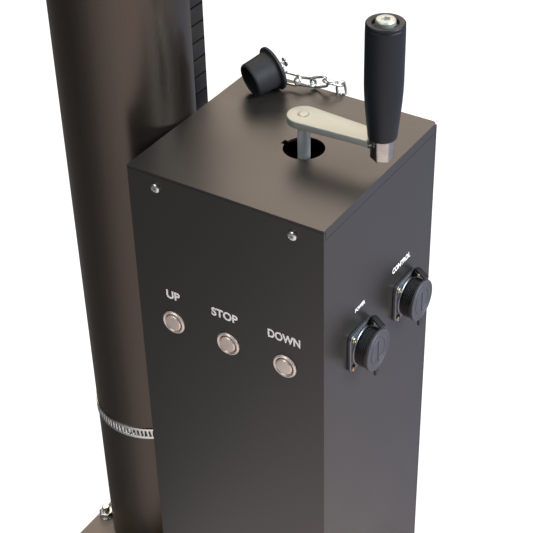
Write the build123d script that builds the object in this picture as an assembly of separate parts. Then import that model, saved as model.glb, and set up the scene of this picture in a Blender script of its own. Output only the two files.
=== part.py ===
"""Electric telescopic mast with its drive box, crank and cable chain.

Millimetres, +Z up. The origin is on the mast's axis, at the underside of the gear case.
+X runs from the mast to the drive box, and -Y is the side with the three buttons.
"""

from build123d import *
import math
import os

# Base: a gear case, closed by the base plate that carries the mast and the box
CASE_HEIGHT = 36.0
CASE_WALL = 15.0
CASE_FLOOR = 8.0
PLATE_THICK = 12.0
BASE_LEFT = -65.0
BASE_RIGHT = 257.0
BASE_HALF_DEPTH = 106.0
BASE_CORNER_R = 6.0
CASE_BOSS_WALL = 7.0
BOLT_INSET_X = 9.0
BOLT_INSET_Y = 10.0
BOLT_R = 4.0
BOLT_DEPTH = 20.0
BOLT_TIP_R = 3.9
BOLT_TIP = 7.0
BOLT_HEAD_AF = 13.0
BOLT_HEAD = 5.5
WASHER_R = 7.4
WASHER_THICK = 1.6
FIX_HOLE_R = 4.25
FIX_HOLE_DEPTH = 6.0
FIX_SPACING_X = 280.0
FIX_SPACING_Y = 180.0

# Mast sections: outer, middle and inner tube
OUTER_R = 57.0
OUTER_WALL = 5.0
OUTER_LENGTH = 880.0
MIDDLE_R = 48.0
MIDDLE_WALL = 4.0
INNER_R = 40.0
INNER_WALL = 4.0
KEY_WIDTH = 7.0
KEY_DEPTH = 2.6
COLLAR_SKIRT = 20.0
COLLAR_LIP = 20.0
COLLAR_WALL = 6.0
MIDDLE_COLLAR_WALL = 7.0
STOP_GAP = 0.5
SLIDE_GAP = 0.3
SEAT_GAP = 0.1
STROKE = 680.0
PISTON_HEIGHT = 22.0
SPIGOT_HEIGHT = 14.0
PISTON_STAGGER = 62.0
FOOT_HEIGHT = 30.0
FLANGE_R = 65.0
FLANGE_THICK = 12.0
FLANGE_SKIRT = 9.0
FLANGE_PCD = 104.0
FLANGE_HOLE_R = 4.5

# Screws: the lower one turns the hollow upper one through a key
LOWER_SCREW_R = 12.0
UPPER_SCREW_R = 20.0
UPPER_SCREW_BORE_R = 13.0
SCREW_KEY_WIDTH = 5.0
SCREW_KEY_DEPTH = 3.0
LOWER_SCREW_SPARE = 24.0
UPPER_SCREW_SPARE = 12.0
UPPER_HUB = 20.0
UPPER_COLLAR = 8.0
UPPER_COLLAR_WALL = 2.0
NUT_R = 26.0
NUT_HEIGHT = 30.0
RUN_GAP = 0.08
BEARING_R = 28.0
BEARING_HEIGHT = 16.0

# Gear train in the case
MODULE = 3.0
PRESSURE_ANGLE = 25.0
BACKLASH = 0.2
SCREW_TEETH = 30
IDLER_TEETH = 34
PINION_TEETH = 14
GEAR_THICK = 12.0
GEAR_Z = 14.0
SHAFT_R = 8.0
SHAFT_COLLAR = 4.0
BUSH_WALL = 5.0

# Gearmotor on the base plate, the shaft's upper guide and the control board
MOTOR_SHIFT = 52.0
MOTOR_R = 34.0
MOTOR_RIM_R = 36.0
MOTOR_RIM = 14.0
MOTOR_HEIGHT = 150.0
MOTOR_CAP = 8.0
REDUCER_LEFT = 37.0
REDUCER_RIGHT = 38.0
REDUCER_HALF = 42.0
REDUCER_HEIGHT = 62.0
GUIDE_HALF = 24.0
GUIDE_FRONT = 20.0
GUIDE_SHEET = 4.0
GUIDE_DROP = 30.0
GUIDE_BUSH = 8.0
BOARD_Z = 330.0
BOARD_HEIGHT = 170.0
BOARD_HALF = 60.0
BOARD_THICK = 1.6
BOARD_STAND = 8.0
BOARD_STAND_R = 3.0
BOARD_STAND_INSET = 8.0
BOARD_BLOCK = 22.0
BOARD_BLOCK_HEIGHT = 30.0
BOARD_BLOCK_ACROSS = (-38.0, -8.0, 24.0, -30.0, 18.0)
BOARD_BLOCK_UP = (30.0, 30.0, 34.0, 100.0, 104.0)
BOARD_BLOCK_OUT = (18.0, 18.0, 14.0, 24.0, 12.0)

# Drive box of folded sheet
BOX_GAP = 1.5
BOX_WIDTH = 180.0
BOX_DEPTH = 180.0
BOX_HEIGHT = 500.0
BOX_FRONT_Y = -79.0
SHEET = 2.0
HEM = 15.0
LID_FLANGE = 9.0
LID_SEAM = 0.4
LID_TAB = 20.0
LID_CORNER_R = 4.0
CRANK_HOLE_R = 17.0
CRANK_NOTCH = 3.0
BOX_SCREW_DOWN = 13.0
BOX_SCREW_IN = 27.0
BOX_SCREW_R = 2.0
BOX_SCREW_HEAD_R = 4.0
BOX_SCREW_HEAD = 2.4
BOX_SCREW_LENGTH = 8.0

# Hand crank, from the box's front left edge
CRANK_X = 107.5
CRANK_Y = 91.0
CRANK_SHAFT_R = 5.2
CRANK_HEX = 10.0
CRANK_ARM = 70.0
ARM_UNDER = 25.0
ARM_THICK = 6.0
ARM_HUB_R = 13.5
ARM_TIP_HALF = 9.5
CRANK_NUT_AF = 16.0
CRANK_NUT_UNDER = 13.5
CRANK_NUT_HEIGHT = 18.0
GRIP_HEIGHT = 96.5
GRIP_R = 15.0
GRIP_FOOT_R = 11.2
GRIP_BORE_GAP = 0.3
GRIP_BOLT_R = 5.0
GRIP_HEAD_R = 7.9
GRIP_HEAD = 6.0
SOCKET_TOP_DOWN = 40.0
SOCKET_DEPTH = 30.0

# Push buttons on the front and connectors on the right side
CONTROL_DOWN = 144.0
BUTTON_X = (35.0, 89.5, 144.0)
BEZEL_R = 10.8
BEZEL_PROUD = 3.0
BUTTON_THREAD_R = 9.4
BUTTON_BORE_R = 7.9
BUTTON_CAP_R = 7.5
BUTTON_LENGTH = 24.0
BUTTON_SINK = 0.7
BUTTON_CAP = 11.0
BUTTON_NUT_AF = 22.0
BUTTON_NUT = 4.0
CONNECTOR_Y = (55.0, 131.0)
FLANGE_SQUARE = 37.0
FLANGE_PLATE = 3.5
FLANGE_SCREWS = 29.0
BARREL_R = 15.5
BARREL_OUT = 14.5
BARREL_IN = 14.0
SOCKET_R = 13.2
SOCKET_IN = 8.0
PIN_R = 1.2
PIN_RING_R = 7.0
PIN_SINK = 5.0
PINS = 5
CAP_R = 18.5
CAP_FACE = 19.0
CAP_DISC = 3.0
CAP_SKIRT_R = 17.4
CAP_SKIRT = 9.0
CAP_TAB_HALF = 3.0
CAP_TAB = 6.5
CONNECTOR_SCREW_R = 1.5
CONNECTOR_HEAD_R = 2.9
CONNECTOR_HEAD = 1.8
STRAP_WIDTH = 9.0
STRAP_THICK = 2.0

# Rubber plug that lies on the lid, from its back left corner, on its link chain
PLUG_CONTACT = (36.7, -18.4)
PLUG_TURN = -117.0
PLUG_FLANGE_R = 19.5
PLUG_FLANGE = 4.0
PLUG_NECK_R = 16.3
PLUG_RIM_R = 14.6
PLUG_LENGTH = 22.0
PLUG_WALL = 2.6
LINK_LENGTH = 20.0
LINK_WIDTH = 11.0
LINK_WIRE = 2.0
LINK_SLACK = 2.6
STUD_R = 1.5
STUD_LENGTH = 9.0
STUD_HEAD_R = 4.2
STUD_HEAD = 1.4
ANCHOR_X = 87.0
ANCHOR_DOWN = 19.5
ANCHOR_STAND = 7.4

# Hose clamp round the mast
CLAMP_DOWN = 320.6
CLAMP_BAND = 12.7
CLAMP_THICK = 0.8
CLAMP_TURN = 140.0
CLAMP_HOUSING = 14.0
CLAMP_HOUSING_RISE = 8.8
WORM_R = 3.4
WORM_LENGTH = 24.0
WORM_HEAD_R = 4.2
WORM_HEAD = 4.0

# Cable chain behind the mast: a hanging loop of links
CHAIN_PITCH = 16.5
CHAIN_HEIGHT = 16.0
CHAIN_WIDTH = 24.0
CHAIN_WALL = 2.6
CHAIN_LINKS = 42
CHAIN_BEND_LINKS = 6
CHAIN_X = 12.5
CHAIN_NEAR_Y = 64.0
CHAIN_TOP_DOWN = 23.0
LINK_GAP = 0.5
BRACKET_SHEET = 3.0
BRACKET_RISE = 40.0
BRACKET_LIP = 10.0
BRACKET_IN_Y = 40.0

# Places that follow from the sizes above
PLATE_TOP = CASE_HEIGHT + PLATE_THICK
LID_TOP = PLATE_TOP + BOX_HEIGHT
BOX_LEFT = OUTER_R + BOX_GAP
BOX_RIGHT = BOX_LEFT + BOX_WIDTH
BOX_BACK_Y = BOX_FRONT_Y + BOX_DEPTH
OUTER_BORE_R = OUTER_R - OUTER_WALL
MIDDLE_BORE_R = MIDDLE_R - MIDDLE_WALL
INNER_BORE_R = INNER_R - INNER_WALL
OUTER_TOP = PLATE_TOP + OUTER_LENGTH
MIDDLE_COLLAR_Z = OUTER_TOP + COLLAR_LIP + STOP_GAP
MIDDLE_TOP = MIDDLE_COLLAR_Z + COLLAR_SKIRT
TOP_SKIRT_Z = MIDDLE_TOP + COLLAR_LIP + STOP_GAP
INNER_TOP = TOP_SKIRT_Z + COLLAR_SKIRT
MAST_TOP = INNER_TOP + FLANGE_THICK
FOOT_TOP = PLATE_TOP + FOOT_HEIGHT
MIDDLE_PISTON_Z = FOOT_TOP + 6.0
MIDDLE_SEAT_Z = MIDDLE_PISTON_Z + PISTON_HEIGHT
HUB_Z = MIDDLE_SEAT_Z + SPIGOT_HEIGHT + 2.0
INNER_PISTON_Z = MIDDLE_PISTON_Z + PISTON_STAGGER
INNER_SEAT_Z = INNER_PISTON_Z + PISTON_HEIGHT
SHAFT_X = BOX_LEFT + CRANK_X
SHAFT_Y = BOX_FRONT_Y + CRANK_Y
CONTROL_Z = LID_TOP - CONTROL_DOWN
GRIP_X = SHAFT_X + CRANK_ARM
GRIP_Z = LID_TOP + CRANK_NUT_UNDER + CRANK_NUT_HEIGHT + SLIDE_GAP
BASE_BOLT_X = (BASE_LEFT + BOLT_INSET_X, BASE_RIGHT - BOLT_INSET_X)
BASE_BOLT_PITCH = 2 * (BASE_HALF_DEPTH - BOLT_INSET_Y) / 3
CHAIN_TOP = OUTER_TOP - CHAIN_TOP_DOWN
CHAIN_BEND_R = CHAIN_BEND_LINKS * CHAIN_PITCH / math.pi
CHAIN_FAR_X = CHAIN_X - 2 * CHAIN_BEND_R
CHAIN_MID_Y = CHAIN_NEAR_Y + CHAIN_WIDTH / 2
CHAIN_BEND_Z = CHAIN_TOP - CHAIN_LINKS * CHAIN_PITCH


def block(x0, x1, y0, y1, z0, z1):
    """A box between two corners."""
    middle = Pos((x0 + x1) / 2, (y0 + y1) / 2, (z0 + z1) / 2)
    return middle * Box(x1 - x0, y1 - y0, z1 - z0)


def rod(radius, z0, z1, x=0.0, y=0.0):
    """An upright cylinder from z0 to z1."""
    return Pos(x, y, (z0 + z1) / 2) * Cylinder(radius, z1 - z0)


def ring(outer, inner, z0, z1, x=0.0, y=0.0):
    """An upright tube from z0 to z1."""
    return rod(outer, z0, z1, x, y) - rod(inner, z0 - 1, z1 + 1, x, y)


def hexagon(across_flats, z0, z1, x=0.0, y=0.0, turn=0.0):
    """An upright hexagonal bar."""
    outline = RegularPolygon(across_flats / math.sqrt(3), 6, rotation=turn)
    return Pos(x, y, z0) * extrude(outline, z1 - z0)


def lying(shape, direction, x, y, z):
    """An upright shape from the origin, laid so that its +Z points along a direction."""
    return Plane(origin=(x, y, z), z_dir=direction) * shape


def keyed_tube(outer, inner, z0, z1):
    """A tube with two keys along its bore, on the front and the back."""
    tube = ring(outer, inner, z0, z1)
    reach = (inner + outer) / 2
    keys = block(-KEY_WIDTH / 2, KEY_WIDTH / 2, -reach, reach, z0, z1) & rod(outer - 0.5, z0, z1)
    return tube + (keys - rod(inner - KEY_DEPTH, z0, z1))


def key_slots(bore, z0, z1):
    """The room that a piston leaves for the two keys of the tube that it runs in."""
    wide = KEY_WIDTH / 2 + SLIDE_GAP
    slots = block(-wide, wide, -bore, bore, z0 - 1, z1 + 1)
    return slots - rod(bore - KEY_DEPTH - SLIDE_GAP, z0 - 1, z1 + 1)


def involute(angle):
    return math.tan(angle) - angle


def gear(teeth, z0, thick, x, y, phase):
    """A spur gear with involute flanks; phase is the angle of one tooth's middle in radians."""
    pitch_r = MODULE * teeth / 2
    base_r = pitch_r * math.cos(math.radians(PRESSURE_ANGLE))
    tip_r = pitch_r + 0.95 * MODULE
    root_r = pitch_r - 1.25 * MODULE
    half_pitch = math.pi / (2 * teeth) - BACKLASH / (4 * pitch_r)
    flank_start = max(base_r, root_r)
    flank = []
    for step in range(4):
        radius = flank_start + (tip_r - flank_start) * step / 3
        spread = involute(math.acos(min(1.0, base_r / radius)))
        half = half_pitch + involute(math.radians(PRESSURE_ANGLE)) - spread
        flank.append((radius, half))
    if root_r < flank_start - 0.05:
        flank.insert(0, (root_r, flank[0][1]))
    points = []
    for tooth in range(teeth):
        middle = phase + 2 * math.pi * tooth / teeth
        points += [(r * math.cos(middle - a), r * math.sin(middle - a)) for r, a in flank]
        points += [(r * math.cos(middle + a), r * math.sin(middle + a)) for r, a in flank[::-1]]
    outline = make_face(Polyline(*points, close=True))
    return Pos(x, y, z0) * extrude(outline, thick)


def mesh_phase(phase, teeth, other_teeth, line):
    """The phase of a gear that meshes with one of the given phase, along a line of centres."""
    offset = phase - line
    return line + math.pi - offset * teeth / other_teeth + math.pi / other_teeth


def cap_screw(radius, head_r, head, length, direction, x, y, z):
    """A screw whose head stands on a face at x, y, z, with its shank into the face."""
    shape = rod(radius, -length, 0.5)
    shape += rod(head_r, 0, head)
    shape = chamfer(shape.edges().sort_by(Axis.Z)[-1], head * 0.3)
    return lying(shape, direction, x, y, z)


def save(name, shape):
    """Writes one node; a list becomes a group of separate solids."""
    if isinstance(shape, (list, tuple)):
        solids = [solid for piece in shape for solid in piece.solids()]
        shape = Compound(children=solids)
    shape.label = name
    export_step(shape, f"parts/{name}.step")


def make_base():
    """Gear case, base plate and the bolts that close them."""
    depth = BASE_HALF_DEPTH
    outline = (BASE_LEFT, BASE_RIGHT, -depth, depth)
    case = block(*outline, 0, CASE_HEIGHT)
    case = fillet(case.edges().filter_by(Axis.Z), BASE_CORNER_R)
    case -= block(
        BASE_LEFT + CASE_WALL,
        BASE_RIGHT - CASE_WALL,
        -depth + CASE_WALL,
        depth - CASE_WALL,
        CASE_FLOOR,
        CASE_HEIGHT + 1,
    )
    boss_top = GEAR_Z - SLIDE_GAP
    for x, y in ((0, 0), (SHAFT_X, SHAFT_Y)):
        case += rod(SHAFT_R + CASE_BOSS_WALL, CASE_FLOOR - 1, boss_top, x, y)
        case -= rod(SHAFT_R + RUN_GAP, CASE_FLOOR - 3, boss_top + 1, x, y)
    centre_x = (BASE_LEFT + BASE_RIGHT) / 2
    for side_x in (-1, 1):
        for side_y in (-1, 1):
            x = centre_x + side_x * FIX_SPACING_X / 2
            y = side_y * FIX_SPACING_Y / 2
            case -= rod(FIX_HOLE_R, -1, FIX_HOLE_DEPTH, x, y)

    plate = block(*outline, CASE_HEIGHT, PLATE_TOP)
    plate = fillet(plate.edges().filter_by(Axis.Z), BASE_CORNER_R)
    plate = chamfer(plate.faces().sort_by(Axis.Z)[-1].outer_wire().edges(), 0.8)
    plate -= rod(LOWER_SCREW_R + SHAFT_COLLAR, CASE_HEIGHT - 1, PLATE_TOP + 1)
    plate -= rod(SHAFT_R + SHAFT_COLLAR, CASE_HEIGHT - 1, PLATE_TOP + 1, SHAFT_X, SHAFT_Y)

    bolts = []
    for x in BASE_BOLT_X:
        for row in range(4):
            y = (row - 1.5) * BASE_BOLT_PITCH
            hole = rod(BOLT_R + SEAT_GAP, CASE_HEIGHT - BOLT_DEPTH - 2, PLATE_TOP + 1, x, y)
            case -= hole
            plate -= hole
            bolts.append(base_bolt(x, y))
    save("gear_case", case)
    save("base_plate", plate)
    save("base_bolts", bolts)


def base_bolt(x, y):
    """A hexagon bolt with its washer, from the top of the base plate into the case."""
    head_z = PLATE_TOP + WASHER_THICK
    head_top = head_z + BOLT_HEAD
    bolt = rod(BOLT_R, CASE_HEIGHT - BOLT_DEPTH, PLATE_TOP + 1, x, y)
    bolt += rod(WASHER_R, PLATE_TOP, head_z, x, y)
    bolt += hexagon(BOLT_HEAD_AF, head_z, head_top, x, y, 15.0)
    return bolt + rod(BOLT_TIP_R, head_top - 0.1, head_top + BOLT_TIP, x, y)


def make_collar(bore, tube_r, z0, wall):
    """A guide collar: its skirt holds a tube's end and its lip guides the next tube."""
    outer = tube_r + wall
    top = z0 + COLLAR_SKIRT + COLLAR_LIP
    collar = rod(outer, z0, top)
    collar = chamfer(collar.edges().sort_by(Axis.Z)[-1], 2.0)
    collar -= rod(tube_r + SEAT_GAP, z0 - 1, z0 + COLLAR_SKIRT)
    return collar - rod(bore, z0, top + 1)


def make_outer_section():
    """The fixed tube, its foot with the main bearing, and its top collar."""
    save("outer_tube", keyed_tube(OUTER_R, OUTER_BORE_R, PLATE_TOP, OUTER_TOP))

    foot_r = OUTER_BORE_R - KEY_DEPTH - SLIDE_GAP
    foot = rod(foot_r, PLATE_TOP, FOOT_TOP)
    foot -= rod(BEARING_R + SEAT_GAP, FOOT_TOP - BEARING_HEIGHT, FOOT_TOP + 1)
    foot -= rod(LOWER_SCREW_R + SHAFT_COLLAR, PLATE_TOP - 1, FOOT_TOP)
    save("tube_foot", foot)
    bearing_z = FOOT_TOP - BEARING_HEIGHT
    save("screw_bearing", ring(BEARING_R, LOWER_SCREW_R + RUN_GAP, bearing_z, FOOT_TOP))

    collar_z = OUTER_TOP - COLLAR_SKIRT
    collar = make_collar(MIDDLE_R + SLIDE_GAP, OUTER_R, collar_z, COLLAR_WALL)
    save("outer_collar", collar)


def make_piston(bore_r, tube_bore_r, nut_bore_r, z0):
    """A guide piston: it runs in one tube and its spigot carries the next."""
    seat = z0 + PISTON_HEIGHT
    piston = rod(bore_r - SLIDE_GAP, z0, seat)
    piston = chamfer(piston.edges().sort_by(Axis.Z)[0], 1.5)
    piston -= key_slots(bore_r, z0, seat)
    spigot = rod(tube_bore_r - SEAT_GAP, seat - 1, seat + SPIGOT_HEIGHT)
    piston += spigot - key_slots(tube_bore_r, seat, seat + SPIGOT_HEIGHT)
    return piston - rod(nut_bore_r, z0 - 1, seat + SPIGOT_HEIGHT + 1)


def screw_nut(bore_r, z0):
    """A drive nut: a sleeve with a flange under the piston's upper face."""
    return ring(NUT_R, bore_r, z0, z0 + NUT_HEIGHT)


def make_middle_section():
    """The middle tube with its piston, nut, bearing and collar."""
    top = MIDDLE_TOP
    save("middle_tube", keyed_tube(MIDDLE_R, MIDDLE_BORE_R, MIDDLE_SEAT_Z, top))
    piston = make_piston(OUTER_BORE_R, MIDDLE_BORE_R, NUT_R + SEAT_GAP, MIDDLE_PISTON_Z)
    save("middle_piston", piston)
    save("middle_nut", screw_nut(LOWER_SCREW_R + RUN_GAP, MIDDLE_PISTON_Z))
    hub_r = UPPER_SCREW_R + 2
    bearing = rod(NUT_R, MIDDLE_PISTON_Z + NUT_HEIGHT, HUB_Z + 6)
    bearing -= rod(hub_r + RUN_GAP, HUB_Z, HUB_Z + 7)
    bearing -= rod(LOWER_SCREW_R + 1, MIDDLE_PISTON_Z, HUB_Z + 7)
    save("carrier_bearing", bearing)
    collar = make_collar(INNER_R + SLIDE_GAP, MIDDLE_R, MIDDLE_COLLAR_Z, MIDDLE_COLLAR_WALL)
    save("middle_collar", collar)


def make_inner_section():
    """The inner tube with its piston and nut, and the flange for the payload."""
    save("inner_tube", ring(INNER_R, INNER_BORE_R, INNER_SEAT_Z, INNER_TOP))
    seat = INNER_SEAT_Z
    piston = rod(MIDDLE_BORE_R - SLIDE_GAP, INNER_PISTON_Z, seat)
    piston = chamfer(piston.edges().sort_by(Axis.Z)[0], 1.5)
    piston -= key_slots(MIDDLE_BORE_R, INNER_PISTON_Z, seat)
    piston += rod(INNER_BORE_R - SEAT_GAP, seat - 1, seat + SPIGOT_HEIGHT)
    piston -= rod(NUT_R + SEAT_GAP, INNER_PISTON_Z - 1, seat + SPIGOT_HEIGHT + 1)
    save("inner_piston", piston)
    save("inner_nut", screw_nut(UPPER_SCREW_R + RUN_GAP, INNER_PISTON_Z))

    flange = rod(INNER_R + FLANGE_SKIRT, TOP_SKIRT_Z, INNER_TOP + 1)
    flange += rod(FLANGE_R, INNER_TOP, MAST_TOP)
    flange = chamfer(flange.edges().sort_by(Axis.Z)[-1], 1.5)
    flange -= rod(INNER_R + SEAT_GAP, TOP_SKIRT_Z - 1, INNER_TOP)
    for index in range(4):
        turn = math.radians(90 * index)
        x = FLANGE_PCD / 2 * math.cos(turn)
        y = FLANGE_PCD / 2 * math.sin(turn)
        flange -= rod(FLANGE_HOLE_R, INNER_TOP - 1, MAST_TOP + 1, x, y)
    save("top_flange", flange)


def make_screws():
    """The keyed lower screw, and the hollow upper screw that rides up it."""
    lower_top = HUB_Z + STROKE + LOWER_SCREW_SPARE
    screw = rod(SHAFT_R, CASE_FLOOR - 2, GEAR_Z + GEAR_THICK + 2)
    screw += rod(LOWER_SCREW_R, GEAR_Z + GEAR_THICK, lower_top)
    slot_z = MIDDLE_PISTON_Z
    slot = block(
        LOWER_SCREW_R - SCREW_KEY_DEPTH,
        LOWER_SCREW_R + 1,
        -SCREW_KEY_WIDTH / 2,
        SCREW_KEY_WIDTH / 2,
        slot_z,
        lower_top + 1,
    )
    save("lower_screw", screw - slot)

    hub_top = HUB_Z + UPPER_HUB
    upper_top = INNER_PISTON_Z + STROKE + NUT_HEIGHT + UPPER_SCREW_SPARE
    upper = ring(UPPER_SCREW_R, UPPER_SCREW_BORE_R, hub_top - 1, upper_top)
    upper += ring(UPPER_SCREW_R + UPPER_COLLAR_WALL, LOWER_SCREW_R + RUN_GAP, HUB_Z + SLIDE_GAP,
                  HUB_Z + UPPER_COLLAR)
    upper += ring(UPPER_SCREW_R, LOWER_SCREW_R + RUN_GAP, HUB_Z + UPPER_COLLAR - 1, hub_top)
    key = block(
        LOWER_SCREW_R - SCREW_KEY_DEPTH + SLIDE_GAP,
        LOWER_SCREW_R + 2,
        -SCREW_KEY_WIDTH / 2 + SLIDE_GAP,
        SCREW_KEY_WIDTH / 2 - SLIDE_GAP,
        HUB_Z + SLIDE_GAP,
        hub_top,
    )
    save("upper_screw", upper + key)


def make_gears():
    """Screw gear, idler on its pin, and the pinion on the drive shaft."""
    reach = math.hypot(SHAFT_X, SHAFT_Y)
    screw_idler = MODULE * (SCREW_TEETH + IDLER_TEETH) / 2
    idler_pinion = MODULE * (IDLER_TEETH + PINION_TEETH) / 2
    bearing = math.atan2(SHAFT_Y, SHAFT_X)
    swing = math.acos((screw_idler**2 + reach**2 - idler_pinion**2) / (2 * screw_idler * reach))
    line = bearing - swing
    idler_x = screw_idler * math.cos(line)
    idler_y = screw_idler * math.sin(line)
    second = math.atan2(SHAFT_Y - idler_y, SHAFT_X - idler_x)
    idler_phase = mesh_phase(0.0, SCREW_TEETH, IDLER_TEETH, line)
    pinion_phase = mesh_phase(idler_phase, IDLER_TEETH, PINION_TEETH, second)

    wheel = gear(SCREW_TEETH, GEAR_Z, GEAR_THICK, 0, 0, 0.0)
    wheel -= rod(SHAFT_R, GEAR_Z - 1, GEAR_Z + GEAR_THICK + 1)
    save("screw_gear", wheel)

    idler = gear(IDLER_TEETH, GEAR_Z, GEAR_THICK, idler_x, idler_y, idler_phase)
    idler -= rod(SHAFT_R + RUN_GAP, GEAR_Z - 1, GEAR_Z + GEAR_THICK + 1, idler_x, idler_y)
    save("idler_gear", idler)
    pin = rod(SHAFT_R, CASE_FLOOR, CASE_HEIGHT - 1, idler_x, idler_y)
    shoulder = SHAFT_R + BUSH_WALL
    pin += rod(shoulder, CASE_FLOOR, GEAR_Z - SLIDE_GAP, idler_x, idler_y)
    pin += rod(shoulder, GEAR_Z + GEAR_THICK + SLIDE_GAP, CASE_HEIGHT, idler_x, idler_y)
    save("idler_pin", pin)

    pinion = gear(PINION_TEETH, GEAR_Z, GEAR_THICK, SHAFT_X, SHAFT_Y, pinion_phase)
    save("drive_pinion", pinion - rod(SHAFT_R, 0, CASE_HEIGHT, SHAFT_X, SHAFT_Y))


def make_drive():
    """Gearmotor on the base plate, its through shaft with the crank socket, and a guide."""
    x, y = SHAFT_X, SHAFT_Y
    motor_x = x - MOTOR_SHIFT
    motor_z = PLATE_TOP + REDUCER_HEIGHT
    reducer = block(
        motor_x - REDUCER_LEFT, x + REDUCER_RIGHT, y - REDUCER_HALF, y + REDUCER_HALF,
        PLATE_TOP, motor_z,
    )
    reducer = fillet(reducer.edges().filter_by(Axis.Z), 12)
    reducer = fillet(reducer.faces().sort_by(Axis.Z)[-1].edges(), 3)
    reducer -= rod(SHAFT_R + SLIDE_GAP, PLATE_TOP - 1, motor_z + 1, x, y)
    save("reducer", reducer)

    motor_top = motor_z + MOTOR_HEIGHT
    rim_top = motor_top - MOTOR_CAP
    motor = rod(MOTOR_R, motor_z, motor_top, motor_x, y)
    motor += rod(MOTOR_RIM_R, motor_z, motor_z + MOTOR_RIM, motor_x, y)
    motor += rod(MOTOR_RIM_R, rim_top - MOTOR_RIM, rim_top, motor_x, y)
    motor = chamfer(motor.edges().sort_by(Axis.Z)[-1], 2)
    save("motor", motor)

    socket_top = LID_TOP - SOCKET_TOP_DOWN
    socket_z = socket_top - SOCKET_DEPTH - 8
    socket_r = SHAFT_R + SHAFT_COLLAR
    shaft = rod(SHAFT_R, CASE_FLOOR - 2, socket_z + 1, x, y)
    shaft += rod(socket_r, GEAR_Z + GEAR_THICK, CASE_HEIGHT - 1, x, y)
    shaft += rod(socket_r, socket_z, socket_top, x, y)
    shaft -= hexagon(CRANK_HEX + 2 * SEAT_GAP, socket_top - SOCKET_DEPTH, socket_top + 1, x, y)
    save("drive_shaft", shaft)

    guide_z = socket_z - 2 * GUIDE_BUSH
    guide_top = guide_z + GUIDE_SHEET
    back = BOX_BACK_Y - 2 * SHEET - SLIDE_GAP
    left, right = x - GUIDE_HALF, x + GUIDE_HALF
    guide = block(left, right, y - GUIDE_FRONT, back, guide_z, guide_top)
    guide += block(left, right, back - GUIDE_SHEET, back, guide_z - GUIDE_DROP, guide_top)
    guide += rod(SHAFT_R + BUSH_WALL, guide_z - GUIDE_BUSH, guide_z + GUIDE_BUSH, x, y)
    guide -= rod(SHAFT_R + RUN_GAP, guide_z - GUIDE_BUSH - 1, guide_z + GUIDE_BUSH + 1, x, y)
    save("shaft_guide", guide)
    save("control_board", control_board())


def control_board():
    """The circuit board on the box's left wall: its blocks and its four stand-offs."""
    wall = BOX_LEFT + SHEET
    face = wall + BOARD_STAND
    middle = SHAFT_Y
    board = block(face, face + BOARD_THICK, middle - BOARD_HALF, middle + BOARD_HALF,
                  BOARD_Z, BOARD_Z + BOARD_HEIGHT)
    for dy, dz, high in zip(BOARD_BLOCK_ACROSS, BOARD_BLOCK_UP, BOARD_BLOCK_OUT):
        low_y = middle + dy
        low_z = BOARD_Z + dz
        board += block(face + 1, face + high, low_y, low_y + BOARD_BLOCK,
                       low_z, low_z + BOARD_BLOCK_HEIGHT)
    reach = BOARD_HALF - BOARD_STAND_INSET
    for dy in (-reach, reach):
        for dz in (BOARD_STAND_INSET, BOARD_HEIGHT - BOARD_STAND_INSET):
            stand = rod(BOARD_STAND_R, 0, BOARD_STAND)
            board += lying(stand, (1, 0, 0), wall, middle + dy, BOARD_Z + dz)
    return board


def box_screw_places():
    """Each box screw's place and the way that its head faces."""
    top = LID_TOP - BOX_SCREW_DOWN
    left = BOX_LEFT + BOX_SCREW_IN
    right = BOX_RIGHT - BOX_SCREW_IN
    for x in (left, right):
        yield (x, BOX_FRONT_Y, top), (0, -1, 0)
        yield (x, BOX_BACK_Y, top), (0, 1, 0)
    for x in (BOX_LEFT + HEM / 2 + 1, BOX_RIGHT - HEM / 2 - 1):
        for share in (0.08, 0.5, 0.86):
            yield (x, BOX_BACK_Y, PLATE_TOP + share * BOX_HEIGHT), (0, 1, 0)


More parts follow.
